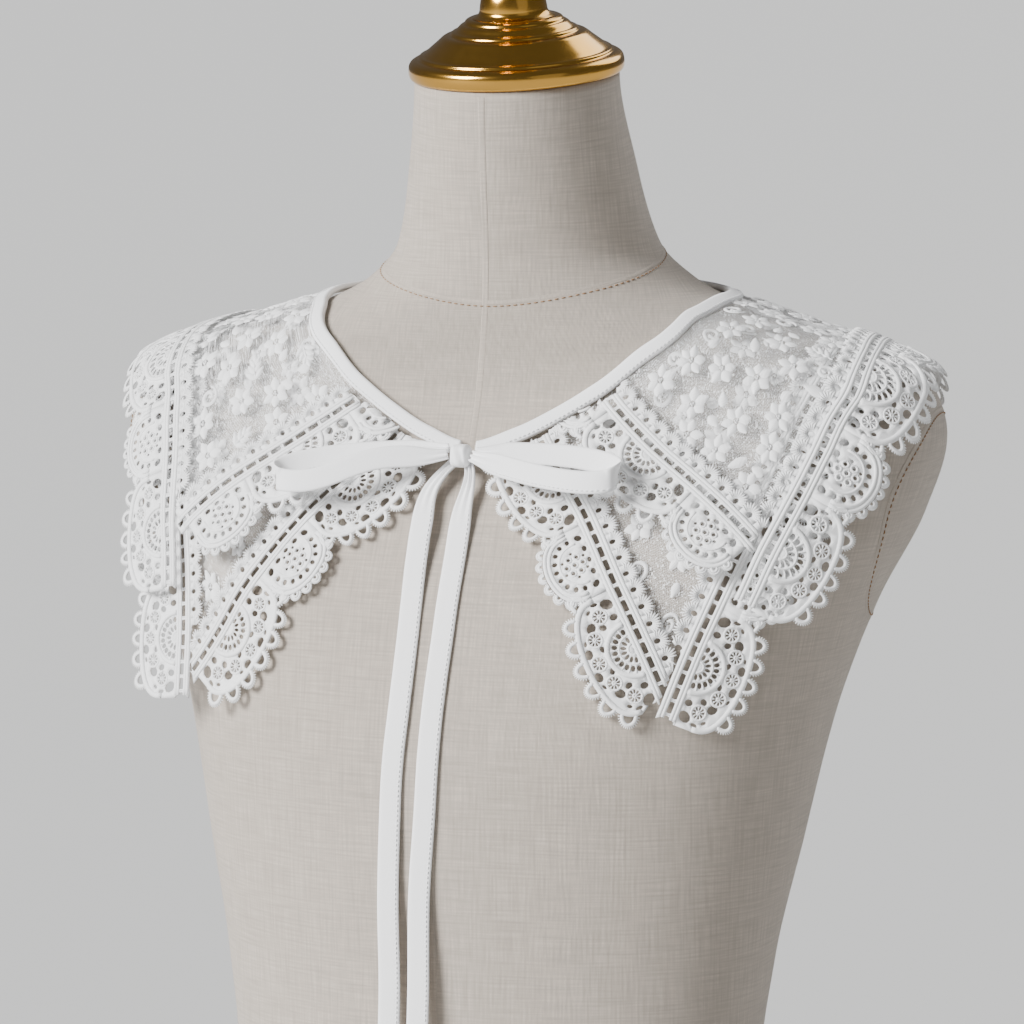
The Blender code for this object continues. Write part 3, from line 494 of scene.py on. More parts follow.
class Sketch:
    """Cords drawn in the flat plane of the lace: along, out and height."""

    def __init__(self):
        self.points, self.quads, self.ends, self.marks = [], [], [], []
        self.uvs = []
        self.count = 0
        self.group = 0

    def cord(self, line, width, height, base=0.0, sides=6, closed=False, ends=1.0, small=False,
             joined=False):
        """A cord along a line. Its ends narrow to a share of its width.

        A small one is kept or left out whole, with those before it that it is joined to.
        """
        line = np.asarray(line, float)
        if closed:
            heading = np.roll(line, -1, 0) - np.roll(line, 1, 0)
        else:
            heading = np.gradient(line, axis=0)
        heading /= np.maximum(np.linalg.norm(heading, axis=1, keepdims=True), 1e-9)
        aside = np.stack([-heading[:, 1], heading[:, 0]], 1)
        share = np.ones(len(line))
        if not closed:
            share[0] = share[-1] = ends
        turns = 2 * math.pi * (np.arange(sides) + 0.5) / sides
        reach = np.cos(turns) * width / 2 * share[:, None]
        rise = base + (np.sin(turns) * share[:, None] + 1) * height / 2
        flat_points = line[:, None, :] + aside[:, None, :] * reach[..., None]
        points = np.concatenate([flat_points, rise[..., None]], -1).reshape(-1, 3)
        steps = np.append(0, np.cumsum(np.linalg.norm(np.diff(line, axis=0), axis=1)))
        uvs = np.stack(np.broadcast_arrays(steps[:, None], np.arange(sides) * width / 2), -1)
        quads, caps = bar_faces(sides, len(line), closed)
        self.points.append(points)
        self.uvs.append(uvs.reshape(-1, 2))
        self.quads.append(quads + self.count)
        self.ends += [[corner + self.count for corner in cap] for cap in caps]
        self.group += 0 if joined else 1
        self.marks.append(np.full(len(points), self.group if small else -1))
        self.count += len(points)

    def ring(self, centre, radius, width, height, corners=14, base=0.0, sides=5):
        turns = 2 * math.pi * np.arange(corners) / corners
        line = np.asarray(centre) + radius * np.stack([np.cos(turns), np.sin(turns)], 1)
        self.cord(line, width, height, base, sides, closed=True, small=True)

    def stitch(self, start, end, width, height, base=0.0, joined=False):
        """One pulled stitch, thick at its foot and thin at its tip."""
        start, end = np.asarray(start, float), np.asarray(end, float)
        line = [start, start + (end - start) * 0.55, end]
        self.cord(line, width, height, base, sides=4, ends=0.55, small=True, joined=joined)

    def packed(self):
        """Points, flat places, side faces, end faces and marks, as arrays."""
        return (np.concatenate(self.points), np.concatenate(self.uvs),
                np.concatenate(self.quads), self.ends, np.concatenate(self.marks))


def arc(centre, radius, start, end, steps, squash=1.0):
    """Points of an arc, from one angle in degrees to another."""
    turns = np.radians(np.linspace(start, end, steps))
    return np.asarray(centre) + radius * np.stack([np.cos(turns), squash * np.sin(turns)], 1)


def scallop_line(length, depth, valley, steps, inset=0.0):
    """Centre line of a scallop's outer cord, about the scallop's middle."""
    turns = np.linspace(0, math.pi, steps)
    along = -(length / 2 - inset) * np.cos(turns)
    out = valley + (depth - inset - valley) * np.sin(turns) ** 0.75
    return np.stack([along, out], 1)


def spaced(line, count, inset=0.5):
    """Evenly spaced places on a line, with the direction of the line at each."""
    steps = np.append(0, np.cumsum(np.linalg.norm(np.diff(line, axis=0), axis=1)))
    at = (np.arange(count) + inset) / (count - 1 + 2 * inset) * steps[-1]
    places = np.stack([np.interp(at, steps, line[:, k]) for k in (0, 1)], 1)
    ahead = np.stack([np.interp(at + 0.0005, steps, line[:, k]) for k in (0, 1)], 1)
    behind = np.stack([np.interp(at - 0.0005, steps, line[:, k]) for k in (0, 1)], 1)
    heading = (ahead - behind) / np.linalg.norm(ahead - behind, axis=1, keepdims=True)
    return places, heading


# Fan scallop: the daisies, and the gaps of its web, about its middle on the ladder line.
Daisy = namedtuple("Daisy", "along out")
FAN_DAISIES = (
    Daisy(0.0000, 0.0226), Daisy(-0.0112, 0.0198), Daisy(0.0112, 0.0198),
    Daisy(-0.0205, 0.0132), Daisy(0.0205, 0.0132),
)
WebGap = namedtuple("WebGap", "along out long wide turn")
FAN_GAPS = (
    WebGap(0.0059, 0.0253, 0.0026, 0.0021, -15), WebGap(-0.0059, 0.0253, 0.0026, 0.0021, 15),
    WebGap(0.0170, 0.0191, 0.0028, 0.0023, -45), WebGap(-0.0170, 0.0191, 0.0028, 0.0023, 45),
    WebGap(0.0057, 0.0183, 0.0018, 0.0013, 15), WebGap(-0.0057, 0.0183, 0.0018, 0.0013, -15),
    WebGap(0.0150, 0.0138, 0.0019, 0.0016, 60), WebGap(-0.0150, 0.0138, 0.0019, 0.0016, -60),
    WebGap(0.0245, 0.0076, 0.0034, 0.0026, 60), WebGap(-0.0245, 0.0076, 0.0034, 0.0026, -60),
    WebGap(0.0176, 0.0071, 0.0021, 0.0017, 90), WebGap(-0.0176, 0.0071, 0.0021, 0.0017, 90),
    WebGap(0.0268, 0.0133, 0.0019, 0.0010, 80), WebGap(-0.0268, 0.0133, 0.0019, 0.0010, 100),
    WebGap(0.0244, 0.0173, 0.0014, 0.0009, -55), WebGap(-0.0244, 0.0173, 0.0014, 0.0009, 55),
    WebGap(0.0112, 0.0247, 0.0014, 0.0008, -25), WebGap(-0.0112, 0.0247, 0.0014, 0.0008, 25),
)
FAN_CENTRE = (0.0, 0.0046)
FAN_ARCH = 0.0128
CLUSTER_CENTRE = (0.0, 0.0140)
CLUSTER_GAPS = (
    WebGap(0.0062, 0.0068, 0.0017, 0.0013, 0), WebGap(-0.0062, 0.0068, 0.0017, 0.0013, 0),
    WebGap(0.0000, 0.0065, 0.0015, 0.0011, 0), WebGap(0.0124, 0.0078, 0.0021, 0.0016, 50),
    WebGap(-0.0124, 0.0078, 0.0021, 0.0016, -50),
)
LADDER_PITCH = 0.0072
LASH_PITCH = 0.0087
PLATE = 0.0007
RAIL_EDGE = 0.0049


def oval(gap, corners=9):
    """Corners of an oval gap."""
    turns = 2 * math.pi * np.arange(corners) / corners
    long, wide = gap.long * np.cos(turns), gap.wide * np.sin(turns)
    spin = math.radians(gap.turn)
    return np.stack([gap.along + long * math.cos(spin) - wide * math.sin(spin),
                     gap.out + long * math.sin(spin) + wide * math.cos(spin)], 1)


def slots(centre, radius, count, long, wide, start, end):
    """Narrow radial gaps in a row around a centre."""
    gaps = []
    for turn in np.linspace(start, end, count):
        spin = math.radians(turn)
        gaps.append(WebGap(centre[0] + radius * math.cos(spin),
                           centre[1] + radius * math.sin(spin), long, wide, turn))
    return gaps


def plate(outline, gaps, fill):
    """Triangles of the web of one motif: a flat outline with its gaps left out."""
    rings = [np.asarray(outline)] + gaps
    low, high = rings[0].min(0), rings[0].max(0)
    grid = np.stack(np.meshgrid(np.arange(low[0], high[0], fill),
                                np.arange(low[1], high[1], fill)), -1).reshape(-1, 2)
    grid = grid[inside(grid, rings[0])]
    grid = grid[edge_distance(grid, rings) > fill * 0.4]
    points, edges = [], []
    for ring in rings:
        first = len(points)
        points += [Vector(point) for point in ring]
        edges += [(first + i, first + (i + 1) % len(ring)) for i in range(len(ring))]
    points += [Vector(point) for point in grid]
    found, _, faces = delaunay_2d_cdt(points, edges, [], 0, 1e-6)[:3]
    found = np.array([tuple(point) for point in found])
    faces = np.array([tuple(face) for face in faces])
    centres = found[faces].mean(1)
    keep = inside(centres, rings[0])
    for ring in rings[1:]:
        keep &= ~inside(centres, ring)
    return found, faces[keep]


def fan_scallop():
    """Web and cords of the long scallop: an arch, five daisies and looped picots."""
    edge = scallop_line(0.060, 0.0297, 0.0130, 33)
    outline = np.vstack([edge, [(0.030, 0.0040)],
                         [(along, 0.0040) for along in np.arange(0.027, -0.028, -0.003)],
                         [(-0.030, 0.0040)]])
    gaps = [oval(gap) for gap in FAN_GAPS]
    gaps += [oval(gap, 7) for gap in slots(FAN_CENTRE, 0.0051, 7, 0.0016, 0.00088, 12, 168)]
    gaps += [oval(gap, 7) for gap in slots(FAN_CENTRE, 0.0093, 10, 0.0016, 0.0012, 9, 171)]
    for daisy in FAN_DAISIES:
        gaps += [oval(gap, 6) for gap in slots(daisy, 0.0022, 9, 0.0011, 0.00056, 0, 320)]
    web = plate(outline, gaps, 0.0032)
    sketch = Sketch()
    sketch.cord(scallop_line(0.060, 0.0297, 0.0130, 41, 0.0012), 0.0030, 0.0015)
    sketch.cord(arc(FAN_CENTRE, FAN_ARCH, 0, 180, 27), 0.0027, 0.0014)
    sketch.cord(arc(FAN_CENTRE, 0.0072, 2, 178, 18), 0.0010, 0.0010, sides=5)
    sketch.cord(arc(FAN_CENTRE, 0.0028, 5, 175, 9), 0.0012, 0.0010, sides=5)
    for turn in np.radians(np.linspace(18, 162, 9)):
        way = np.array([math.cos(turn), math.sin(turn)])
        centre = np.asarray(FAN_CENTRE)
        sketch.stitch(centre + way * 0.0076, centre + way * 0.0118, 0.0008, 0.0008, 0.0003)
    for daisy in FAN_DAISIES:
        sketch.ring(daisy, 0.0036, 0.0013, 0.0011, 16)
        sketch.ring(daisy, 0.0007, 0.0010, 0.0012, 8)
        for turn in range(0, 360, 40):
            spin = math.radians(turn + 20)
            way = np.array([math.cos(spin), math.sin(spin)])
            sketch.stitch(daisy + way * 0.0011, daisy + way * 0.0032, 0.0006, 0.0007, 0.0004)
    looped_picots(sketch, 0.060, 7, 0.0033, 0.0044)
    return web, sketch.packed()


def looped_picots(sketch, length, count, half, reach):
    """Buttonhole loops along a scallop's edge, each with its fringe of short stitches."""
    line = scallop_line(length, 0.0297, 0.0130, 60)
    for place, heading in zip(*spaced(line, count, 0.62)):
        outward = np.array([-heading[1], heading[0]])
        turns = np.radians(np.linspace(-8, 188, 13))
        loop = (place + np.outer(np.cos(turns) * half, heading)
                + np.outer(np.sin(turns) * reach, outward))
        sketch.cord(loop, 0.0021 if count < 8 else 0.0013, 0.0014, sides=6, small=True)
        for turn in np.radians(np.linspace(2, 178, 15)):
            way = math.cos(turn) * heading * half + math.sin(turn) * outward * reach
            tip = way * (1 + 0.0019 / np.linalg.norm(way))
            sketch.stitch(place + way, place + tip, 0.0009, 0.0008, 0.0002, joined=True)


def cluster_scallop():
    """Web and cords of the short scallop: a double edge round a cluster of ringlets."""
    edge = scallop_line(0.036, 0.0292, 0.0130, 27)
    outline = np.vstack([edge, [(0.018, 0.0040)],
                         [(along, 0.0040) for along in np.arange(0.015, -0.016, -0.003)],
                         [(-0.018, 0.0040)]])
    gaps = [oval(gap) for gap in CLUSTER_GAPS]
    inner = scallop_line(0.036, 0.0292, 0.0120, 60, 0.0056)
    for place, heading in zip(*spaced(inner, 9, 0.35)):
        spin = math.degrees(math.atan2(heading[1], heading[0]))
        gaps.append(oval(WebGap(place[0], place[1], 0.00125, 0.0015, spin), 7))
    ringlets = [(0.0, 0.0)] + [(0.0042 * math.cos(turn), 0.0042 * math.sin(turn))
                               for turn in np.radians(np.arange(30, 390, 60))]
    ringlets = [np.array(ringlet) + CLUSTER_CENTRE for ringlet in ringlets]
    gaps += [oval(WebGap(centre[0], centre[1], 0.0010, 0.0010, 0), 7) for centre in ringlets]
    gaps += [oval(gap, 5) for gap in slots(CLUSTER_CENTRE, 0.0063, 6, 0.0009, 0.0009, 0, 300)]
    web = plate(outline, gaps, 0.0032)
    sketch = Sketch()
    sketch.cord(scallop_line(0.036, 0.0292, 0.0130, 31, 0.0009), 0.0020, 0.0014)
    sketch.cord(scallop_line(0.036, 0.0292, 0.0130, 31, 0.0030), 0.0019, 0.0014)
    sketch.cord(scallop_line(0.036, 0.0292, 0.0100, 27, 0.0078), 0.0014, 0.0011, sides=5)
    for centre in ringlets:
        sketch.ring(centre, 0.0015, 0.0011, 0.0012, 10)
    looped_picots(sketch, 0.036, 9, 0.0013, 0.0016)
    return web, sketch.packed()


def ladder_unit():
    """One step of the ladder between the two rails."""
    half = LADDER_PITCH / 2
    outline = [(-half, -0.0048), (0, -0.0048), (half, -0.0048), (half, 0), (half, 0.0048),
               (0, 0.0048), (-half, 0.0048), (-half, 0)]
    slot = [(-0.0026, -0.0013), (0.0026, -0.0013), (0.0029, 0), (0.0026, 0.0013),
            (-0.0026, 0.0013), (-0.0029, 0)]
    return plate(outline, [np.array(slot)], 0.0030)


def lash_unit():
    """One fan of lashing stitches about its eye, on the inner edge of the rails."""
    half = LASH_PITCH / 2
    outline = np.vstack([[(half, -0.0040)], [(half, -0.0062)],
                         arc((0, -0.0070), 0.0040, -15, -165, 9), [(-half, -0.0062)],
                         [(-half, -0.0040)]])
    eye = oval(WebGap(0, -0.0068, 0.0013, 0.0017, 0), 8)
    web = plate(outline, [eye], 0.0030)
    sketch = Sketch()
    for k, turn in enumerate(np.radians(np.linspace(-172, -8, 12))):
        way = np.array([math.cos(turn), math.sin(turn)])
        reach = (0.0058, 0.0065, 0.0060)[k % 3]
        sketch.stitch((0, -0.0068) + way * 0.0020, (0, -0.0068) + way * reach,
                      0.0013, 0.0010, 0.0001)
    return web, sketch.packed()


# Shared surfaces and edging runs of the two layers.
TURN_LENGTH = 0.16
LAYERS = {"lower": (LOWER_RUNS, lower_lift), "upper": (UPPER_RUNS, upper_lift)}
SCALLOP_MAKERS = {"A": fan_scallop, "B": cluster_scallop}
CORNERS = {"front_left": "side_left", "front_right": "side_right",
           "back": "side_left side_right"}


class Cloth:
    """The drape, the edging runs of both layers and the motifs, made once."""

    made = None

    def __init__(self):
        self.drape = Drape()
        self.patterns = {layer: {run.name: RunPattern(self.drape, run) for run in runs}
                         for layer, (runs, _) in LAYERS.items()}
        self.motifs = {kind: maker() for kind, maker in SCALLOP_MAKERS.items()}
        self.ladder = ladder_unit()
        self.lash = lash_unit()

    @classmethod
    def get(cls):
        if cls.made is None:
            cls.made = cls()
        return cls.made


def flat(places):
    """A place on the drape as flat coordinates of about its real size."""
    places = np.asarray(places, float)
    return np.stack([places[..., 0] * TURN_LENGTH, places[..., 1]], -1)


def strip(pattern, inner, before=0.012, after=0.012, outer=0.0300):
    """Ring of the ground that an edging run covers, from an inner line outwards."""
    alongs = np.append(np.arange(-before, pattern.length + after, 0.004), pattern.length + after)
    along = np.concatenate([alongs, alongs[::-1]])
    return flat(pattern.place(along, np.repeat([inner, outer], len(alongs))))


def whole_turn(ring):
    """The ring, carried once around the neck."""
    return ring + (2 * math.pi * TURN_LENGTH, 0.0)


def wobble(along, out, seed, reach):
    """Small smooth unevenness of handled cloth, as a length."""
    pick = np.random.default_rng(seed)
    total = 0 * along
    for size in (0.016, 0.027, 0.045, 0.080):
        a, b, c = pick.uniform(0, 2 * math.pi, 3)
        total = total + size / 0.05 * np.sin(along / size * 2.2 + a) * np.cos(out / size * 1.7 + b)
    return total * reach / 3


def lace_lift(layer, drops, along, out, seed):
    """How far an edging's underside is from the drape, with its own small waves."""
    base = LAYERS[layer][1](drops) + CLOTH + LAYER_GAP
    wave = 0.0005 * (1 + np.sin(along / 0.012 + seed)) * np.clip(out / 0.03, 0, 1)
    return base + wave + 0.0004 + wobble(along, out, seed, 0.0003)


def keep_faces(points, faces, good):
    """The faces whose corners are all good, and the points they use."""
    faces = faces[good[faces].all(1)]
    used, faces = np.unique(faces, return_inverse=True)
    return points[used], faces.reshape(-1, 3)


def plate_solid(points, faces, thickness):
    """A flat web made into a closed plate: points with height, and its faces."""
    edges = np.sort(np.concatenate([faces[:, [0, 1]], faces[:, [1, 2]], faces[:, [2, 0]]]), axis=1)
    directed = np.concatenate([faces[:, [0, 1]], faces[:, [1, 2]], faces[:, [2, 0]]])
    _, first, count = np.unique(edges, axis=0, return_index=True, return_counts=True)
    rim = directed[first[count == 1]]
    size = len(points)
    high = np.column_stack([points, np.full(size, thickness)])
    low = np.column_stack([points, np.zeros(size)])
    walls = np.stack([rim[:, 1], rim[:, 0], rim[:, 0] + size, rim[:, 1] + size], 1)
    return np.vstack([high, low]), faces, faces[:, ::-1] + size, walls


def lace_parts(cloth, layer, pattern):
    """All the webs and cords of one edging run, in its own coordinates."""
    run = pattern.run
    start = run.begin
    webs, cords = [], []
    for kind in run.scallops:
        length = SCALLOP_LENGTHS[kind]
        web, sketch = cloth.motifs[kind]
        middle = start + length / 2
        webs.append((web[0] + (middle, 0), web[1]))
        cords.append((middle, sketch))
        start += length
    low, high = run.begin - 0.002, start + 0.002
    for k in range(int(math.floor(low / LADDER_PITCH)), int(math.ceil(high / LADDER_PITCH)) + 1):
        webs.append((cloth.ladder[0] + (k * LADDER_PITCH, 0), cloth.ladder[1]))
    for k in range(int(math.floor(low / LASH_PITCH)), int(math.ceil(high / LASH_PITCH)) + 1):
        webs.append((cloth.lash[0][0] + (k * LASH_PITCH, 0), cloth.lash[0][1]))
        cords.append((k * LASH_PITCH, cloth.lash[1]))
    return webs, cords


class Fence:
    """The limits of one edging run: the neckline, its ends and the runs that it meets.

    At a point of the collar the front or back run ends against the side run's inner rail,
    and the side run's lashes give way to it.
    """

    def __init__(self, cloth, layer, name):
        self.pattern = cloth.patterns[layer][name]
        self.side = name.startswith("side")
        self.rings = []
        for end, sides in CORNERS.items():
            for side in sides.split():
                if name not in (end, side):
                    continue
                turn = 0
                if side == "side_right" and end == "back":
                    turn = -1 if self.side else 1
                other = cloth.patterns[layer][end if self.side else side]
                ring = (strip(other, -LASH_REACH, 0.030, 0.030, 0.0360) if self.side
                        else strip(other, -RAIL_EDGE))
                self.rings.append(ring + (turn * 2 * math.pi * TURN_LENGTH, 0.0))

    def within(self, along, out):
        """Which places are inside the run's limits."""
        places = self.pattern.place(along, out)
        good = places[:, 1] > 0.0006
        if self.side:
            good &= (along > -0.0005) & (along < self.pattern.length + 0.0005)
        else:
            good &= (along > -0.045) & (along < self.pattern.length + 0.045)
        spots = flat(places)
        for ring in self.rings:
            crossed = inside(spots, ring)
            good &= ~(crossed & (out < -RAIL_EDGE)) if self.side else ~crossed
        return good


def lace_meshes(cloth, layer, name, finish, seed):
    """One edging run on the cloth: the webs of its ground, and all the cords on them."""
    pattern = cloth.patterns[layer][name]
    fence = Fence(cloth, layer, name)
    webs, cords = lace_parts(cloth, layer, pattern)
    points, uvs, tris, walls = [], [], [], []
    count = 0
    for web_points, web_faces in webs:
        good = fence.within(web_points[:, 0], web_points[:, 1])
        kept, faces = keep_faces(web_points, web_faces, good)
        if not len(faces):
            continue
        solid, top, bottom, rims = plate_solid(kept, faces, PLATE)
        points.append(solid)
        uvs.append(solid[:, :2])
        tris += [top + count, bottom + count]
        walls.append(rims + count)
        count += len(solid)
    ground = lay_lace(cloth, layer, pattern, f"{layer}_lace_{name}", np.vstack(points),
                      np.vstack(uvs), [np.vstack(tris), np.vstack(walls)], finish, seed)
    rails = Sketch()
    along = np.arange(pattern.run.begin - 0.002, pattern.run.begin + 0.004 + sum(
        SCALLOP_LENGTHS[kind] for kind in pattern.run.scallops), 0.0035)
    for out in (-0.0037, -0.0021, 0.0021, 0.0037):
        rails.cord(np.column_stack([along, np.full(len(along), out)]), 0.0019, 0.0012)
    cords.append((0.0, rails.packed()))
    points, uvs, quads, caps = [], [], [], []
    count = 0
    for shift, (cord_points, cord_uvs, sides, ends, marks) in cords:
        placed = cord_points + (shift, 0, 0)
        good = fence.within(placed[:, 0], placed[:, 1])
        if marks.max() >= 0:
            small = marks >= 0
            whole = np.ones(marks.max() + 1, bool)
            whole[marks[small & ~good]] = False
            good = np.where(small, whole[marks], good)
        faces = sides[good[sides].all(1)]
        closed = [cap for cap in ends if good[cap].all()]
        if not len(faces):
            continue
        used = np.unique(faces)
        slot_of = np.full(len(placed), -1)
        slot_of[used] = np.arange(len(used))
        points.append(placed[used])
        uvs.append(cord_uvs[used])
        quads.append(slot_of[faces] + count)
        caps += [[int(slot_of[corner]) + count for corner in cap] for cap in closed]
        caps += cut_ends(placed, sides, faces, good, slot_of, count)
        count += len(used)
    relief = lay_lace(cloth, layer, pattern, f"{layer}_cords_{name}", np.vstack(points),
                      np.vstack(uvs), [np.vstack(quads), caps], finish, seed)
    return ground, relief


def lay_lace(cloth, layer, pattern, name, points, uvs, groups, finish, seed):
    """A mesh drawn in a run's own coordinates, laid on the cloth."""
    places = pattern.place(points[:, 0], points[:, 1])
    lift = lace_lift(layer, places[:, 1], points[:, 0], points[:, 1], seed) + points[:, 2]
    placed = cloth.drape.point(places[:, 0], places[:, 1], lift)
    if pattern.run.side > 0:
        groups = [[face[::-1] for face in group] for group in groups]
    return build_object(name, placed, groups, uvs, finish)


def cut_ends(points, sides, kept, good, slot_of, count):
    """Faces that close the cords where a limit cuts them."""
    edges = np.concatenate([kept[:, [0, 1]], kept[:, [1, 2]], kept[:, [2, 3]], kept[:, [3, 0]]])
    key = np.sort(edges, axis=1)
    _, first, number = np.unique(key, axis=0, return_index=True, return_counts=True)
    lone = edges[first[number == 1]]
    whole = np.concatenate([sides[:, [0, 1]], sides[:, [1, 2]], sides[:, [2, 3]], sides[:, [3, 0]]])
    pair = np.sort(whole, axis=1)
    found, times = np.unique(pair, axis=0, return_counts=True)
    rims = {tuple(edge) for edge in found[times == 1]}
    follow = {int(b): int(a) for a, b in lone if tuple(sorted((a, b))) not in rims}
    faces = []
    while follow:
        start, after = follow.popitem()
        loop = [start]
        while after != start and after in follow:
            loop.append(after)
            after = follow.pop(after)
        if after == start and len(loop) > 2:
            faces.append([int(slot_of[corner]) + count for corner in loop])
    return faces


# Embroidery on the net: satin-stitch flowers, leaf sprigs and coiled stems.
Motif = namedtuple("Motif", "kind radius")
MOTIFS = (
    Motif("flower", 0.0080), Motif("sprig", 0.0075), Motif("coil", 0.0065),
    Motif("flower", 0.0062), Motif("leaf", 0.0052), Motif("bud", 0.0034),
)
PANEL_START = 15.0
PANEL_END = {"lower": 0.190, "upper": 0.150}
COVER = {"lower": 0.055, "upper": 0.42}
SHEET_STEP = 0.0034
STITCH_HEIGHT = 0.0008


def petal(centre, heading, length, width, steps=7, across=5):
    """A domed satin-stitch petal: places in the flat, heights and faces."""
    t = np.linspace(0, 1, steps)
    half = width / 2 * np.sin(np.pi * np.clip(t, 0.04, 0.965) ** 0.8) ** 0.7
    u = np.linspace(-1, 1, across)
    along = np.outer(t * length, np.ones(across))
    aside = np.outer(half, u)
    spin = math.radians(heading)
    way = np.array([math.cos(spin), math.sin(spin)])
    side = np.array([-way[1], way[0]])
    flat_points = np.asarray(centre) + along[..., None] * way + aside[..., None] * side
    height = STITCH_HEIGHT * np.outer(np.sin(np.pi * np.clip(t, 0.06, 0.94)) ** 0.5, 1 - u ** 2)
    uv = np.stack([along, aside], -1)
    row, k = np.meshgrid(np.arange(steps - 1), np.arange(across - 1), indexing="ij")
    first = row * across + k
    quads = np.stack([first, first + across, first + across + 1, first + 1], -1).reshape(-1, 4)
    return flat_points.reshape(-1, 2), height.ravel(), uv.reshape(-1, 2), quads


def coil(centre, heading, radius, turns, width, rng):
    """A satin-stitched stem that coils in on itself."""
    steps = 22
    t = np.linspace(0, 1, steps)
    reach = radius * (1 - 0.72 * t)
    spin = math.radians(heading) + 2 * math.pi * turns * t * rng.choice((-1, 1))
    line = np.asarray(centre) + np.stack([reach * np.cos(spin), reach * np.sin(spin)], 1)
    heading = np.gradient(line, axis=0)
    heading /= np.linalg.norm(heading, axis=1, keepdims=True)
    side = np.stack([-heading[:, 1], heading[:, 0]], 1)
    u = np.linspace(-1, 1, 4)
    half = width / 2 * np.sin(np.pi * np.clip(t, 0.08, 0.92)) ** 0.4
    points = line[:, None] + side[:, None] * (half[:, None] * u)[..., None]
    height = STITCH_HEIGHT * np.outer(np.ones(steps), 1 - 0.8 * u ** 2)
    steps_along = np.append(0, np.cumsum(np.linalg.norm(np.diff(line, axis=0), axis=1)))
    uv = np.stack(np.broadcast_arrays(np.zeros(4) + u * 0.0004, steps_along[:, None]), -1)
    row, k = np.meshgrid(np.arange(steps - 1), np.arange(3), indexing="ij")
    first = row * 4 + k
    quads = np.stack([first, first + 4, first + 5, first + 1], -1).reshape(-1, 4)
    return points.reshape(-1, 2), height.ravel(), uv.reshape(-1, 2)[:, ::-1], quads


def motif_pieces(kind, centre, radius, heading, rng):
    """The stitched shapes of one motif."""
    made = []
    if kind == "flower":
        petals = 6
        for k in range(petals):
            turn = heading + 360 / petals * k + rng.uniform(-7, 7)
            way = np.array([math.cos(math.radians(turn)), math.sin(math.radians(turn))])
            made.append(petal(centre + way * radius * 0.20, turn, radius * rng.uniform(0.70, 0.84),
                              radius * rng.uniform(0.56, 0.70)))
        for k in range(3):
            spot = centre + radius * 0.09 * np.array([math.cos(k * 2.1), math.sin(k * 2.1)])
            made.append(petal(spot - np.array([radius * 0.08, 0]), 0, radius * 0.16,
                              radius * 0.16, 4, 4))
    elif kind == "sprig":
        way = np.array([math.cos(math.radians(heading)), math.sin(math.radians(heading))])
        foot = centre - way * radius * 0.95
        made.append(petal(foot, heading, radius * 1.9, radius * 0.16))
        for k in range(3):
            spot = foot + way * radius * (0.30 + 0.42 * k)
            for hand in (-1, 1):
                made.append(petal(spot, heading + hand * (52 - 7 * k), radius * (0.92 - 0.13 * k),
                                  radius * 0.40))
        made.append(petal(foot + way * radius * 1.35, heading, radius * 0.62, radius * 0.40))
    elif kind == "coil":
        made.append(coil(centre, heading, radius * 0.82, 1.35, radius * 0.36, rng))
        made.append(petal(centre, heading + 90, radius * 0.5, radius * 0.34, 5, 5))
    elif kind == "leaf":
        way = np.array([math.cos(math.radians(heading)), math.sin(math.radians(heading))])
        made.append(petal(centre - way * radius, heading, radius * 2, radius * 0.95))
    else:
        made.append(petal(centre - np.array([radius, 0]), heading, radius * 2, radius * 1.5, 6, 5))
    return made


def panel_edges(cloth, layer):
    """Rings of the ground that the edging covers, beyond which the panel stops."""
    rings = []
    for name, pattern in cloth.patterns[layer].items():
        ring = strip(pattern, -PANEL_INSET, 0.040, 0.030, RUN_OUTER)
        rings.append(whole_turn(ring) if name.endswith("right") else ring)
    return rings


def panel_sheet(cloth, layer, finish):
    """The net itself, as one sheet on the cloth's surface."""
    drape, lift = cloth.drape, LAYERS[layer][1]
    turns = np.radians(np.arange(PANEL_START, 360 - PANEL_START + 1e-9, 1.5))
    bottom = PANEL_END[layer] + 0.06
    outline = np.vstack([flat(np.stack([turns, 0 * turns], 1)),
                         flat([(turns[-1], bottom), (turns[0], bottom)])])
    rings = panel_edges(cloth, layer)
    low, high = outline.min(0), outline.max(0)
    grid = np.stack(np.meshgrid(np.arange(low[0], high[0], SHEET_STEP),
                                np.arange(low[1] + 0.002, high[1], SHEET_STEP)), -1).reshape(-1, 2)
    grid = grid[edge_distance(grid, rings) > SHEET_STEP * 0.4]
    points = [Vector(point) for point in np.vstack([outline, grid])]
    edges = [(i, (i + 1) % len(outline)) for i in range(len(outline))]
    for ring in rings:
        first = len(points)
        points += [Vector(point) for point in ring]
        edges += [(first + i, first + (i + 1) % len(ring)) for i in range(len(ring))]
    found, _, faces = delaunay_2d_cdt(points, edges, [], 0, 1e-6)[:3]
    found = np.array([tuple(point) for point in found])
    faces = np.array([tuple(face) for face in faces])
    centres = found[faces].mean(1)
    keep = inside(centres, outline)
    for ring in rings:
        keep &= ~inside(centres, ring)
    faces = grown_from(faces[keep], found, flat((math.pi, 0.03)))
    used, faces = np.unique(faces, return_inverse=True)
    found = found[used]
    turns, drops = found[:, 0] / TURN_LENGTH, found[:, 1]
    placed = drape.point(turns, drops, lift(drops) + 0.0004)
    radius = np.hypot(placed[:, 0], placed[:, 1])
    uvs = np.stack([turns * radius, drops], 1)
    made = build_object(f"{layer}_net", placed, [faces.reshape(-1, 3)], uvs, finish)
    return made, found


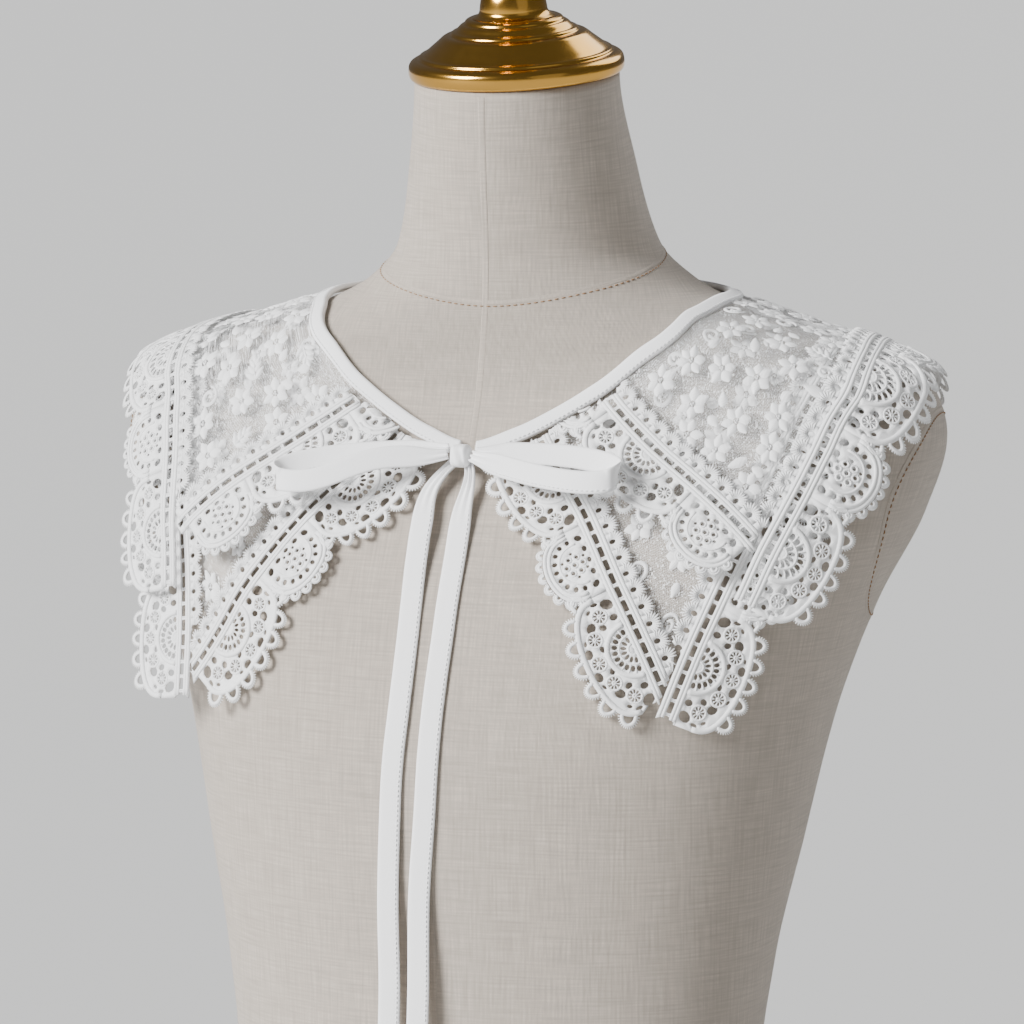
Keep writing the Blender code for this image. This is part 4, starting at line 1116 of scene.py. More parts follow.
def grown_from(faces, points, seed):
    """The faces joined to the one nearest a seed."""
    faces = np.asarray(faces)
    size = len(points)
    label = np.arange(size)
    while True:
        least = label[faces].min(1)
        fresh = label.copy()
        for k in range(3):
            np.minimum.at(fresh, faces[:, k], least)
        fresh = fresh[fresh]
        if (fresh == label).all():
            break
        label = fresh
    centres = points[faces].mean(1)
    start = faces[np.linalg.norm(centres - seed, axis=1).argmin(), 0]
    return faces[label[faces[:, 0]] == label[start]]


def near_points(spots, points, reach):
    """Which spots have a point of the sheet within reach, on a coarse grid."""
    cells = {tuple(cell) for cell in np.floor(points / reach).astype(int)}
    return np.array([all((x + a, y + b) in cells for a in (-1, 0, 1) for b in (-1, 0, 1))
                     for x, y in np.floor(spots / reach).astype(int)])


def scatter(cloth, layer, sheet, seed):
    """Places for the motifs on a panel, kept clear of one another and of its edges."""
    rng = np.random.default_rng(seed)
    drape = cloth.drape
    rings = panel_edges(cloth, layer)
    tries = 26000
    turns = rng.uniform(math.radians(PANEL_START), math.radians(360 - PANEL_START), tries)
    drops = rng.uniform(0.004, PANEL_END[layer], tries)
    spots = flat(np.stack([turns, drops], 1))
    free = np.ones(tries, bool)
    for ring in rings:
        free &= ~inside(spots, ring)
    free &= near_points(spots, sheet, SHEET_STEP)
    free &= rng.uniform(0, 1, tries) < COVER[layer] * ease((drops + 0.012) / 0.045)
    reach = edge_distance(spots[free], rings)
    turns, drops, spots = turns[free], drops[free], spots[free]
    points = drape.point(turns, drops)
    chosen, centres, sizes = [], np.zeros((0, 3)), np.zeros(0)
    stages = ((0, 0.20), (1, 0.40), (2, 0.55), (3, 0.75), (4, 0.90), (5, 1.0))
    order = np.arange(len(turns))
    for index, share in stages:
        motif = MOTIFS[index]
        for i in order[int(len(order) * (share - 0.2)):int(len(order) * share)]:
            if drops[i] < motif.radius * 0.7 or reach[i] < motif.radius * 0.55:
                continue
            if len(centres):
                gap = np.linalg.norm(centres - points[i], axis=1) - sizes - motif.radius
                if gap.min() < -0.0006:
                    continue
            chosen.append((motif, turns[i], drops[i], rng.uniform(0, 360)))
            centres = np.vstack([centres, points[i]])
            sizes = np.append(sizes, motif.radius)
    return chosen


def embroidery(cloth, layer, sheet, finish, seed):
    """All the satin stitch of one panel, joined in one mesh."""
    rng = np.random.default_rng(seed + 1)
    drape, lift = cloth.drape, LAYERS[layer][1]
    points, uvs, quads = [], [], []
    count = 0
    for motif, turn, drop, heading in scatter(cloth, layer, sheet, seed):
        near = drape.point(np.array([turn - 0.01, turn + 0.01]), np.array([drop, drop]))
        per_turn = np.linalg.norm(near[1] - near[0]) / 0.02
        for shape in motif_pieces(motif.kind, np.zeros(2), motif.radius, heading, rng):
            flat_points, height, uv, faces = shape
            turns = turn + flat_points[:, 0] / per_turn
            drops = drop + flat_points[:, 1]
            placed = drape.point(turns, drops, lift(drops) + 0.0005 + height)
            points.append(placed)
            uvs.append(uv + rng.uniform(-1, 1, 2))
            quads.append(faces + count)
            count += len(placed)
    return build_object(f"{layer}_embroidery", np.vstack(points), [np.vstack(quads)],
                        np.vstack(uvs), finish)


# Tape pieces: the neckband's section, the bow and its knot.
BandPoint = namedtuple("BandPoint", "drop lift over_layers")
BAND_START = 3.5
BAND_OVERLAP = 6.0
BAND_SECTION = (
    BandPoint(-0.0080, 0.0013, 0), BandPoint(-0.0068, 0.0018, 0), BandPoint(-0.0040, 0.0019, 0),
    BandPoint(-0.0012, 0.0018, 0), BandPoint(-0.0005, 0.0014, 0), BandPoint(-0.0003, 0.0003, 1),
    BandPoint(-0.0010, 0.0007, 1), BandPoint(-0.0030, 0.0008, 1), BandPoint(-0.0066, 0.0007, 1),
    BandPoint(-0.0080, 0.0004, 1),
)
KNOT_CENTRE = (-0.0003, -0.0785, 0.4158)
KNOT_HALF = (0.0054, 0.0056, 0.0056)
LOOP_FRONT = (0.0, -1.0, 0.25)
LOOP_TURN = 0.90 * math.pi
LOOP_TAPER = 0.6
ROOT_GAP = 0.0012
TAPE_STEPS = 11
NECK_SEAM_FRONT = 0.488
NECK_SEAM_BACK = 0.520


def tape_mesh(name, centres, across, out, finish, gather=None, width=TAPE_WIDTH):
    """A folded tape along a line of centres, with rounded edges and a stitched line."""
    rows = len(centres)
    u = np.linspace(-1, 1, TAPE_STEPS)
    half = width / 2 * (np.ones(rows) if gather is None else gather)
    thick = TAPE_THICK / 2 * (1 - 0.55 * np.abs(u) ** 6)
    pleat = np.zeros(rows) if gather is None else 1 - gather
    fold = 0.0020 * pleat[:, None] * np.cos(u * math.pi * 2.4 + 0.5)[None]
    stitch = -0.00016 * np.exp(-((u - 0.74) / 0.07) ** 2)
    top = (centres[:, None] + across[:, None] * (half[:, None] * u)[..., None]
           + out[:, None] * (fold + (thick + stitch)[None])[..., None])
    under = (centres[:, None] + across[:, None] * (half[:, None] * u)[..., None]
             + out[:, None] * (fold - (thick + stitch)[None])[..., None])
    ring = np.concatenate([top, under[:, ::-1]], 1).reshape(-1, 3)
    along = np.append(0, np.cumsum(np.linalg.norm(np.diff(centres, axis=0), axis=1)))
    wide = np.concatenate([u, u[::-1]]) * width / 2
    uvs = np.stack(np.broadcast_arrays(along[:, None], wide), -1).reshape(-1, 2)
    sides, ends = bar_faces(2 * TAPE_STEPS, rows)
    return build_object(name, ring, [sides, ends], uvs, finish)


def band_mesh(cloth, name, start, end, raise_by, finish):
    """The neckband's folded tape between two azimuths in degrees."""
    layers = FORM_GAP + 2 * CLOTH + LAYER_GAP
    turns = np.radians(np.linspace(start, end, int((end - start) * 1.2) + 2))
    rings = []
    for row in BAND_SECTION:
        drops = np.full(len(turns), row.drop) + wobble(turns * 0.07, row.drop, 5, 0.00022)
        lift = row.lift + layers * row.over_layers + raise_by
        rings.append(cloth.drape.point(turns, drops, np.full(len(turns), lift)))
    points = np.stack(rings, 1)
    along = turns * 0.07
    drops = np.array([row.drop for row in BAND_SECTION])
    uvs = np.stack(np.broadcast_arrays(along[:, None], drops), -1).reshape(-1, 2)
    sides, ends = bar_faces(len(BAND_SECTION), len(turns))
    return build_object(name, points.reshape(-1, 3), [sides, ends], uvs, finish)


def band_line(cloth):
    """Centres, width directions and outward directions of the neckband's stitching."""
    turns = np.radians(np.linspace(BAND_START + 3, 357 - BAND_START, 420))
    lift = FORM_GAP + 2 * CLOTH + LAYER_GAP + 0.00095
    drops = np.full(len(turns), -0.0016)
    centres = cloth.drape.point(turns, drops, np.full(len(turns), lift))
    heading = unit(np.gradient(centres, axis=0))
    normals = cloth.drape.read(cloth.drape.normals, turns, drops)
    return centres, unit(np.cross(normals, heading)), normals


def stitch_row(name, centres, across, out, offset, lift, step, finish, width=0.00045):
    """A row of machine stitches along a tape."""
    along = np.append(0, np.cumsum(np.linalg.norm(np.diff(centres, axis=0), axis=1)))
    starts = np.arange(step, along[-1] - step, step)
    points, uvs, quads, caps = [], [], [], []
    count = 0
    for start in starts:
        at = start + np.array([0, 0.5, 1]) * step * 0.55
        spot = [np.stack([np.interp(at, along, line[:, k]) for k in range(3)], 1)
                for line in (centres, across, out)]
        middle = spot[0] + spot[1] * offset + spot[2] * (lift + np.array([0, 1, 0])[:, None] * 0.0002)
        turn = 2 * math.pi * (np.arange(4) + 0.5) / 4
        ring = (middle[:, None] + spot[1][:, None] * (np.cos(turn) * width / 2)[:, None]
                + spot[2][:, None] * (np.sin(turn) * width / 2)[:, None])
        sides, ends = bar_faces(4, 3)
        points.append(ring.reshape(-1, 3))
        uvs.append(np.stack(np.broadcast_arrays(at[:, None], turn * width / 4), -1).reshape(-1, 2))
        quads.append(sides + count)
        caps += [[corner + count for corner in cap] for cap in ends]
        count += 12
    return build_object(name, np.vstack(points), [np.vstack(quads), caps], np.vstack(uvs), finish)


def tail_lines(cloth, name):
    """Centres, width directions and outward directions of a hanging tape end."""
    rows = TAILS[name]
    drops = np.array([row.drop for row in rows])
    along = drops - drops[0]
    fine = np.linspace(0, along[-1], 120)
    turns = np.radians(smooth_route(along, np.array([row.azimuth for row in rows]), fine))
    lifts = smooth_route(along, np.array([row.lift for row in rows]), fine)
    drops = smooth_route(along, drops, fine)
    lifts = lifts + wobble(fine, 0 * fine, 11 + len(name), 0.0003) * ease(fine / 0.05)
    centres = cloth.drape.point(turns, drops, lifts)
    heading = unit(np.gradient(centres, axis=0))
    across = unit(np.cross(cloth.drape.read(cloth.drape.normals, turns, drops), heading))
    return centres, across, np.cross(heading, across)


def loop_lines(name, steps=90):
    """Centres, width directions and outward directions of a bow loop."""
    loop = LOOPS[name]
    root, tip = np.array(loop.root), np.array(loop.tip)
    reach = tip - root
    front = square_to(np.array(LOOP_FRONT), unit(reach))
    down = np.cross(unit(reach), front)
    down *= -np.sign(down[2])
    turns = np.linspace(-LOOP_TURN, LOOP_TURN, steps)
    far = (1 + np.cos(turns)) / 2
    depth = (loop.opening * np.sin(turns) * far ** LOOP_TAPER
             + ROOT_GAP * np.clip(turns / 0.2, -1, 1))
    centres = root + np.outer(far, reach) + np.outer(depth, front + loop.shear * down)
    lifted = np.where(turns > 0, np.sin(np.pi * np.clip(far / 0.85, 0, 1)) ** 2, 0)
    centres -= np.outer(loop.rise * lifted, down)
    heading = unit(np.gradient(centres, axis=0))
    lean = np.where(turns < 0, 0.35, 0.15) * ease(1 - far)
    across = square_to(np.tile(down, (steps, 1)) + lean[:, None] * front, heading)
    gather = 0.50 + 0.50 * ease(far / 0.26)
    return centres, across, np.cross(heading, across), gather


def knot_mesh(finish):
    """The knot: tape wrapped round the bow's middle, pinched in two soft folds."""
    rings, sides = 22, 36
    polar = np.pi * (np.arange(rings) + 0.5) / rings
    turn = 2 * math.pi * np.arange(sides) / sides
    way = np.stack(np.broadcast_arrays(
        np.sin(polar)[:, None] * np.cos(turn), np.sin(polar)[:, None] * np.sin(turn),
        np.cos(polar)[:, None] + 0 * turn), -1)
    shape = np.sign(way) * np.abs(way) ** 0.62
    slant = shape[..., 0] + 0.35 * shape[..., 2]
    crease = 0.11 * np.cos(slant * 6.5 + 0.9) * (1 - np.abs(shape[..., 2]) ** 3)
    shape[..., 1] *= 1 + crease
    shape[..., 0] *= 1 - 0.14 * (1 - shape[..., 2] ** 2)
    points = np.asarray(KNOT_CENTRE) + shape * KNOT_HALF
    uvs = np.stack([way[..., 0] * KNOT_HALF[0], polar[:, None] * 0.006 + 0 * turn], -1)
    sides_faces, ends = bar_faces(sides, rings)
    return build_object("tie_knot", points.reshape(-1, 3), [sides_faces, ends],
                        uvs.reshape(-1, 2), finish)


def lathe(name, profile, sides, finish):
    """A turned piece about the axis of the neck's top, its profile's corners rounded."""
    smooth = np.array(profile)
    for _ in range(3):
        quarter = smooth[:-1] * 0.75 + smooth[1:] * 0.25
        third = smooth[:-1] * 0.25 + smooth[1:] * 0.75
        smooth = np.vstack([smooth[:1], np.stack([quarter, third], 1).reshape(-1, 2), smooth[-1:]])
    fine = np.append(0, np.cumsum(np.linalg.norm(np.diff(smooth, axis=0), axis=1)))
    top = FORM_SECTIONS[-1].height
    turns = 2 * math.pi * np.arange(sides) / sides
    radius, height = smooth[:, :1], smooth[:, 1:]
    cos, sin = math.cos(NECK_TILT), math.sin(NECK_TILT)
    points = np.stack([radius * np.cos(turns), radius * np.sin(turns) * cos - height * sin,
                       top + height * cos + radius * np.sin(turns) * sin], -1)
    uvs = np.stack(np.broadcast_arrays(turns * 0.05, fine[:, None]), -1)
    faces, ends = bar_faces(sides, len(fine))
    return build_object(name, points.reshape(-1, 3), [faces, ends], uvs.reshape(-1, 2), finish)


def form_point(turns, heights):
    """Points of the form's surface, which leans forward at the neck's top."""
    heights = np.broadcast_to(np.asarray(heights, float), np.shape(turns))
    radius = (np.array([float(form_radius(height, turn)) for height, turn in zip(heights, turns)])
              if np.ptp(heights) > 0 else form_radius(heights[0], turns))
    tilt = math.tan(NECK_TILT) * ease((heights - TILT_START)
                                      / (FORM_SECTIONS[-1].height - TILT_START))
    y = -radius * np.cos(turns)
    return np.stack([radius * np.sin(turns), y, heights + tilt * y], -1)


def form_line(turns, heights):
    """Points, outward directions and sideways directions along a line on the form."""
    points = form_point(turns, heights)
    across = form_point(turns + 0.01, heights) - form_point(turns - 0.01, heights)
    upward = form_point(turns, heights + 0.001) - form_point(turns, heights - 0.001)
    normals = unit(np.cross(across, upward))
    heading = unit(np.gradient(points, axis=0))
    return points, normals, np.cross(normals, heading)


def form_mesh(finish):
    """The linen-covered body, a smooth surface with its two ends closed."""
    heights = np.linspace(0, FORM_SECTIONS[-1].height, 700)
    widths = [form_section(height).half_width for height in heights]
    along = np.append(0, np.cumsum(np.hypot(np.diff(heights), np.diff(widths))))
    rows = np.linspace(0, along[-1], 170)
    turns = np.linspace(0, 2 * math.pi, 180, endpoint=False)
    rings, uvs = [], []
    for height, place in zip(np.interp(rows, along, heights), rows):
        rings.append(form_point(turns, height))
        steps = np.linalg.norm(np.diff(np.vstack([rings[-1], rings[-1][:1]]), axis=0), axis=1)
        girth = np.append(0, np.cumsum(steps))
        around = np.where(turns <= math.pi, girth[:-1], girth[:-1] - girth[-1])
        uvs.append(np.stack([around, np.full(len(turns), place)], 1))
    faces, ends = bar_faces(180, 170)
    made = build_object("linen_form", np.vstack(rings),
                        [faces[:, ::-1], [end[::-1] for end in ends]], np.vstack(uvs), finish)
    carry_round(made, np.vstack(uvs), 4 * len(faces))
    return made


def carry_round(made, uvs, count):
    """Faces across the back take flat places that run on past the seam there."""
    layer = made.data.uv_layers["flat"]
    values = np.zeros(2 * len(layer.data))
    layer.data.foreach_get("uv", values)
    across = values[:2 * count].reshape(-1, 4, 2)[..., 0]
    widest = np.abs(across).max(1, keepdims=True)
    crossing = np.ptp(across, axis=1)[:, None] > widest
    across[...] = np.where(crossing & (across < 0), across + 2 * widest, across)
    layer.data.foreach_set("uv", values)


def seam_mesh(name, line, half, depth, finish):
    """A shallow raised seam along a line of points and normals on the form."""
    points, normals, side = line
    u = np.array([-1, -0.45, -0.12, 0.12, 0.45, 1])
    rise = np.array([-0.4, 0.55, 0.35, 0.35, 0.55, -0.4]) * depth
    ring = points[:, None] + side[:, None] * (u * half)[:, None] + normals[:, None] * rise[:, None]
    low = points[:, None] + side[:, None] * (u[::-1] * half)[:, None] - normals[:, None] * depth
    along = np.append(0, np.cumsum(np.linalg.norm(np.diff(points, axis=0), axis=1)))
    wide = np.concatenate([u, u[::-1]]) * half
    uvs = np.stack(np.broadcast_arrays(along[:, None], wide), -1)
    sides, ends = bar_faces(12, len(points))
    return build_object(name, np.concatenate([ring, low], 1).reshape(-1, 3), [sides, ends],
                        uvs.reshape(-1, 2), finish)


def grouped(name, outputs, inputs=()):
    """A new shader node group with its input and output sockets."""
    tree = bpy.data.node_groups.new(name, "ShaderNodeTree")
    for label, kind, value in inputs:
        socket = tree.interface.new_socket(label, in_out="INPUT", socket_type=kind)
        socket.default_value = value
    for label, kind in outputs:
        tree.interface.new_socket(label, in_out="OUTPUT", socket_type=kind)
    return tree, tree.nodes.new("NodeGroupInput"), tree.nodes.new("NodeGroupOutput")


def node(tree, kind, **settings):
    """A node with some of its settings and socket values set."""
    made = tree.nodes.new(kind)
    for key, value in settings.items():
        if key.startswith("in_"):
            label = key[3:]
            socket = made.inputs[int(label)] if label.isdigit() else made.inputs[label]
            socket.default_value = value
        else:
            setattr(made, key, value)
    return made


def math_node(tree, operation, first, second=None):
    """A Math node fed by sockets or plain numbers."""
    made = node(tree, "ShaderNodeMath", operation=operation)
    for index, value in enumerate((first, second)):
        if value is None:
            continue
        if isinstance(value, (int, float)):
            made.inputs[index].default_value = value
        else:
            tree.links.new(value, made.inputs[index])
    return made.outputs[0]


def weave_group():
    """Plain weave: a height for the threads, and a mask of their slubs."""
    tree, start, end = grouped(
        "Thread Weave", (("Height", "NodeSocketFloat"), ("Slub", "NodeSocketFloat")),
        (("Threads per Metre", "NodeSocketFloat", 1700.0), ("Unevenness", "NodeSocketFloat", 0.4)))
    place = node(tree, "ShaderNodeTexCoord")
    split = node(tree, "ShaderNodeSeparateXYZ")
    noise = node(tree, "ShaderNodeTexNoise", in_Scale=90.0, in_Detail=2.0)
    tree.links.new(place.outputs["UV"], noise.inputs["Vector"])
    tree.links.new(place.outputs["UV"], split.inputs[0])
    drift = math_node(tree, "MULTIPLY", noise.outputs[0], start.outputs["Unevenness"])
    waves = []
    for axis in ("X", "Y"):
        turn = math_node(tree, "MULTIPLY", split.outputs[axis], start.outputs["Threads per Metre"])
        turn = math_node(tree, "MULTIPLY", turn, math.pi)
        turn = math_node(tree, "ADD", turn, math_node(tree, "MULTIPLY", drift, 6.0))
        waves.append(math_node(tree, "ABSOLUTE", math_node(tree, "SINE", turn)))
    height = math_node(tree, "MAXIMUM", waves[0], math_node(tree, "MULTIPLY", waves[1], 0.92))
    tree.links.new(height, end.inputs["Height"])
    stretch = node(tree, "ShaderNodeMapping", in_Scale=(40.0, 900.0, 1.0))
    tree.links.new(place.outputs["UV"], stretch.inputs["Vector"])
    slubs = node(tree, "ShaderNodeTexNoise", in_Scale=1.0, in_Detail=1.0)
    tree.links.new(stretch.outputs[0], slubs.inputs["Vector"])
    across = node(tree, "ShaderNodeMapping", in_Scale=(900.0, 40.0, 1.0))
    tree.links.new(place.outputs["UV"], across.inputs["Vector"])
    others = node(tree, "ShaderNodeTexNoise", in_Scale=1.0, in_Detail=1.0)
    tree.links.new(across.outputs[0], others.inputs["Vector"])
    tree.links.new(math_node(tree, "MULTIPLY", slubs.outputs[0], others.outputs[0]),
                   end.inputs["Slub"])
    return tree


def twist_group():
    """Twisted or satin thread: slanting ridges along a cord's length."""
    tree, start, end = grouped(
        "Thread Twist", (("Height", "NodeSocketFloat"),),
        (("Ridges per Metre", "NodeSocketFloat", 2600.0), ("Slant", "NodeSocketFloat", 0.8)))
    place = node(tree, "ShaderNodeTexCoord")
    split = node(tree, "ShaderNodeSeparateXYZ")
    tree.links.new(place.outputs["UV"], split.inputs[0])
    slanted = math_node(tree, "MULTIPLY", split.outputs["Y"], start.outputs["Slant"])
    turn = math_node(tree, "MULTIPLY", math_node(tree, "ADD", split.outputs["X"], slanted),
                     start.outputs["Ridges per Metre"])
    wave = math_node(tree, "SINE", math_node(tree, "MULTIPLY", turn, 2 * math.pi))
    tree.links.new(math_node(tree, "MULTIPLY", math_node(tree, "ADD", wave, 1.0), 0.5),
                   end.inputs["Height"])
    return tree


def net_group():
    """Fine twisted net: a mask of its threads between small open cells."""
    tree, start, end = grouped(
        "Net Mesh", (("Thread", "NodeSocketFloat"),),
        (("Cell Size", "NodeSocketFloat", 0.0011), ("Thread Share", "NodeSocketFloat", 0.19)))
    place = node(tree, "ShaderNodeTexCoord")
    scale = math_node(tree, "DIVIDE", 1.0, start.outputs["Cell Size"])
    cells = node(tree, "ShaderNodeTexVoronoi", feature="DISTANCE_TO_EDGE", in_Randomness=0.55)
    tree.links.new(place.outputs["UV"], cells.inputs["Vector"])
    tree.links.new(scale, cells.inputs["Scale"])
    tree.links.new(math_node(tree, "LESS_THAN", cells.outputs["Distance"],
                             start.outputs["Thread Share"]), end.inputs["Thread"])
    return tree


def use_group(material, tree, **values):
    """An instance of a node group in a material."""
    made = node(material.node_tree, "ShaderNodeGroup", node_tree=tree)
    for label, value in values.items():
        made.inputs[label.replace("_", " ")].default_value = value
    return made


def plain_material(name, color, roughness, metallic=0.0):
    """A Principled material with its even values set on the shader itself."""
    made = bpy.data.materials.new(name)
    made.use_nodes = True
    shader = made.node_tree.nodes["Principled BSDF"]
    shader.inputs["Base Color"].default_value = (*color[:3], 1)
    shader.inputs["Roughness"].default_value = roughness
    shader.inputs["Metallic"].default_value = metallic
    return made, shader


def bump(material, shader, height, distance, strength=1.0):
    """Raise a surface by a height from a node group."""
    made = node(material.node_tree, "ShaderNodeBump", in_Distance=distance, in_Strength=strength)
    material.node_tree.links.new(height, made.inputs["Height"])
    material.node_tree.links.new(made.outputs[0], shader.inputs["Normal"])


def tinted(material, shader, mask, low, high):
    """Colour between two tones by a mask."""
    mix = node(material.node_tree, "ShaderNodeMix", data_type="RGBA")
    mix.inputs["A"].default_value = (*low, 1)
    mix.inputs["B"].default_value = (*high, 1)
    material.node_tree.links.new(mask, mix.inputs["Factor"])
    material.node_tree.links.new(mix.outputs["Result"], shader.inputs["Base Color"])


def shade(color, share):
    return tuple(min(1.0, value * share) for value in color[:3])


class Finishes:
    """The materials of all the pieces, made once."""

    made = None

    def __init__(self, look):
        weave, twist, net = weave_group(), twist_group(), net_group()
        self.linen, shader = plain_material("linen weave", look.linen_color, 0.85)
        group = use_group(self.linen, weave, Threads_per_Metre=1700.0, Unevenness=0.5)
        tinted(self.linen, shader, group.outputs["Slub"], shade(look.linen_color, 0.80),
               shade(look.linen_color, 1.75))
        bump(self.linen, shader, group.outputs["Height"], 0.00022)
        shader.inputs["Sheen Weight"].default_value = 0.15

        self.thread, shader = plain_material("seam thread", (0.30, 0.17, 0.08), 0.8)
        group = use_group(self.thread, twist, Ridges_per_Metre=1500.0, Slant=0.9)
        bump(self.thread, shader, group.outputs["Height"], 0.0001, 0.8)

        self.lace, shader = plain_material("lace thread", look.lace_color, 0.75)
        group = use_group(self.lace, twist, Ridges_per_Metre=1300.0, Slant=0.7)
        bump(self.lace, shader, group.outputs["Height"], 0.00014, 0.8)
        shader.inputs["Sheen Weight"].default_value = 0.2

        self.stitch, shader = plain_material("satin stitch", look.lace_color, 0.5)
        group = use_group(self.stitch, twist, Ridges_per_Metre=1500.0, Slant=0.2)
        bump(self.stitch, shader, group.outputs["Height"], 0.00014, 0.8)

        self.net, shader = plain_material("fine net", look.lace_color, 0.8)
        group = use_group(self.net, net, Cell_Size=0.0011, Thread_Share=0.055)
        self.net.node_tree.links.new(group.outputs["Thread"], shader.inputs["Alpha"])

        self.tape, shader = plain_material("cotton tape", look.tape_color, 0.7)
        group = use_group(self.tape, weave, Threads_per_Metre=2800.0, Unevenness=0.25)
        bump(self.tape, shader, group.outputs["Height"], 0.00008, 0.7)
        shader.inputs["Sheen Weight"].default_value = 0.15

        self.brass, shader = plain_material("polished brass", look.brass_color, 0.16, 1.0)
        wear = node(self.brass.node_tree, "ShaderNodeTexNoise", in_Scale=140.0, in_Detail=2.0)
        place = node(self.brass.node_tree, "ShaderNodeTexCoord")
        self.brass.node_tree.links.new(place.outputs["UV"], wear.inputs["Vector"])
        span = node(self.brass.node_tree, "ShaderNodeMapRange")
        span.inputs["To Min"].default_value = 0.13
        span.inputs["To Max"].default_value = 0.22
        self.brass.node_tree.links.new(wear.outputs[0], span.inputs["Value"])
        self.brass.node_tree.links.new(span.outputs[0], shader.inputs["Roughness"])

    @classmethod
    def get(cls, context):
        if cls.made is None:
            cls.made = cls(context.scene.collar_look)
        return cls.made


class CollarLook(bpy.types.PropertyGroup):
    """Colours and sizes of the collar and its stage."""

    linen_color: bpy.props.FloatVectorProperty(
        name="Linen", description="Colour of the form's linen cover", subtype="COLOR",
        min=0, max=1, default=(0.430, 0.375, 0.318))
    lace_color: bpy.props.FloatVectorProperty(
        name="Lace", description="Colour of the lace, net and embroidery thread", subtype="COLOR",
        min=0, max=1, default=(0.94, 0.94, 0.94))
    tape_color: bpy.props.FloatVectorProperty(
        name="Tape", description="Colour of the neckband and the bow", subtype="COLOR",
        min=0, max=1, default=(0.95, 0.95, 0.955))
    brass_color: bpy.props.FloatVectorProperty(
        name="Brass", description="Colour of the neck cap and finial", subtype="COLOR",
        min=0, max=1, default=(0.64, 0.35, 0.07))
    floor_color: bpy.props.FloatVectorProperty(
        name="Floor", description="Colour of the floor", subtype="COLOR",
        min=0, max=1, default=(0.60, 0.60, 0.595))
    key_light: bpy.props.FloatProperty(
        name="Key Light", description="Strength of the soft light at the front left, in W/m2",
        subtype="FACTOR", min=0, soft_max=20, default=8.4)
    fill_light: bpy.props.FloatProperty(
        name="Fill Light", description="Strength of the soft light at the front right, in W/m2",
        subtype="FACTOR", min=0, soft_max=20, default=0.1)
    back_light: bpy.props.FloatProperty(
        name="Back Light", description="Strength of the soft light from behind, in W/m2",
        subtype="FACTOR", min=0, soft_max=20, default=1.2)
    room_light: bpy.props.FloatProperty(
        name="Room Light", description="Strength of the even light from all round",
        subtype="FACTOR", min=0, soft_max=4, default=0.14)
    camera_distance: bpy.props.FloatProperty(
        name="Camera Distance", description="How far the camera is from the neck's axis",
        subtype="DISTANCE", unit="LENGTH", min=0.5, default=2.4)
    seed: bpy.props.IntProperty(
        name="Seed", description="Starting number for the scattered embroidery", default=4)


def finished(piece, slot_name, *nodes):
    """Hide the CAD parts that a piece replaces and attach it to the root body. Its slot name is not
    used.
    """
    if nodes:
        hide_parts(*nodes)
    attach(piece, "root")
    return piece


class CollarOperator(bpy.types.Operator):
    """Shared behaviour of the operators that build pieces."""

    bl_options = {"REGISTER", "UNDO"}

    def execute(self, context):
        self.build(context, Finishes.get(context), Cloth.get())
        return {"FINISHED"}


class COLLAR_OT_form(CollarOperator):
    """Build the linen-covered form with its seams"""
    bl_idname = "collar.form"
    bl_label = "Dress Form"

    def build(self, context, finishes, cloth):
        finished(form_mesh(finishes.linen), "linen", "dress_form")
        heights = np.linspace(0.004, 0.596, 260)
        line = form_line(0 * heights, heights)
        finished(seam_mesh("front_seam", line, 0.0022, 0.0004, finishes.linen), "linen")
        for side in (-1, 1):
            spin = np.linspace(0, 2 * math.pi, 120)
            line = form_line(side * np.radians(100 + 17 * np.cos(spin)),
                             0.383 + 0.052 * np.sin(spin))
            name = "arm_seam_left" if side > 0 else "arm_seam_right"
            finished(seam_mesh(name, line, 0.0014, 0.00025, finishes.linen), "linen")
            seam = stitch_row(f"{name}_stitches", line[0], line[2], line[1], 0.0019, 0.0001,
                              0.0034, finishes.thread, 0.0006)
            finished(seam, "linen")
        turns = np.radians(np.linspace(-180, 180, 220))
        drop = 0.5 - 0.5 * np.cos(turns)
        heights = NECK_SEAM_FRONT + (NECK_SEAM_BACK - NECK_SEAM_FRONT) * drop
        line = form_line(turns, heights)
        finished(seam_mesh("neck_seam", line, 0.0014, 0.00025, finishes.linen), "linen")
        stitches = stitch_row("neck_seam_stitches", line[0], line[2], line[1], -0.0019, 0.0001,
                              0.0034, finishes.thread, 0.0006)
        finished(stitches, "linen")


class COLLAR_OT_cap(CollarOperator):
    """Build the turned neck cap and its finial"""
    bl_idname = "collar.cap"
    bl_label = "Neck Cap and Finial"

    def build(self, context, finishes, cloth):
        finished(lathe("turned_cap", CAP_PROFILE, 96, finishes.brass), "brass", "neck_cap")
        finished(lathe("turned_finial", FINIAL_PROFILE, 64, finishes.brass), "brass", "finial")


# Flat cut of each edging run: its layer and name, and its length before it is shaped.
Cut = namedtuple("Cut", "layer name length")
EDGING_CUTS = (
    Cut("lower", "front_left", 0.150), Cut("lower", "front_right", 0.165),
    Cut("lower", "side_left", 0.420), Cut("lower", "side_right", 0.420),
    Cut("lower", "back", 0.192), Cut("upper", "front_left", 0.115),
    Cut("upper", "front_right", 0.105), Cut("upper", "side_left", 0.288),
    Cut("upper", "side_right", 0.288), Cut("upper", "back", 0.312),
)


class COLLAR_OT_lace(CollarOperator):
    """Build the scalloped lace edging of both layers"""
    bl_idname = "collar.lace"
    bl_label = "Lace Edging"

    def build(self, context, finishes, cloth):
        for seed, cut in enumerate(EDGING_CUTS):
            ground, relief = lace_meshes(cloth, cut.layer, cut.name, finishes.lace, seed)
            finished(ground, "lace", f"{cut.layer}_trim_{cut.name}")
            finished(relief, "lace")


# Flat cut of each net panel: the rectangle it is cut from, and its own area.
PanelCut = namedtuple("PanelCut", "width length area")


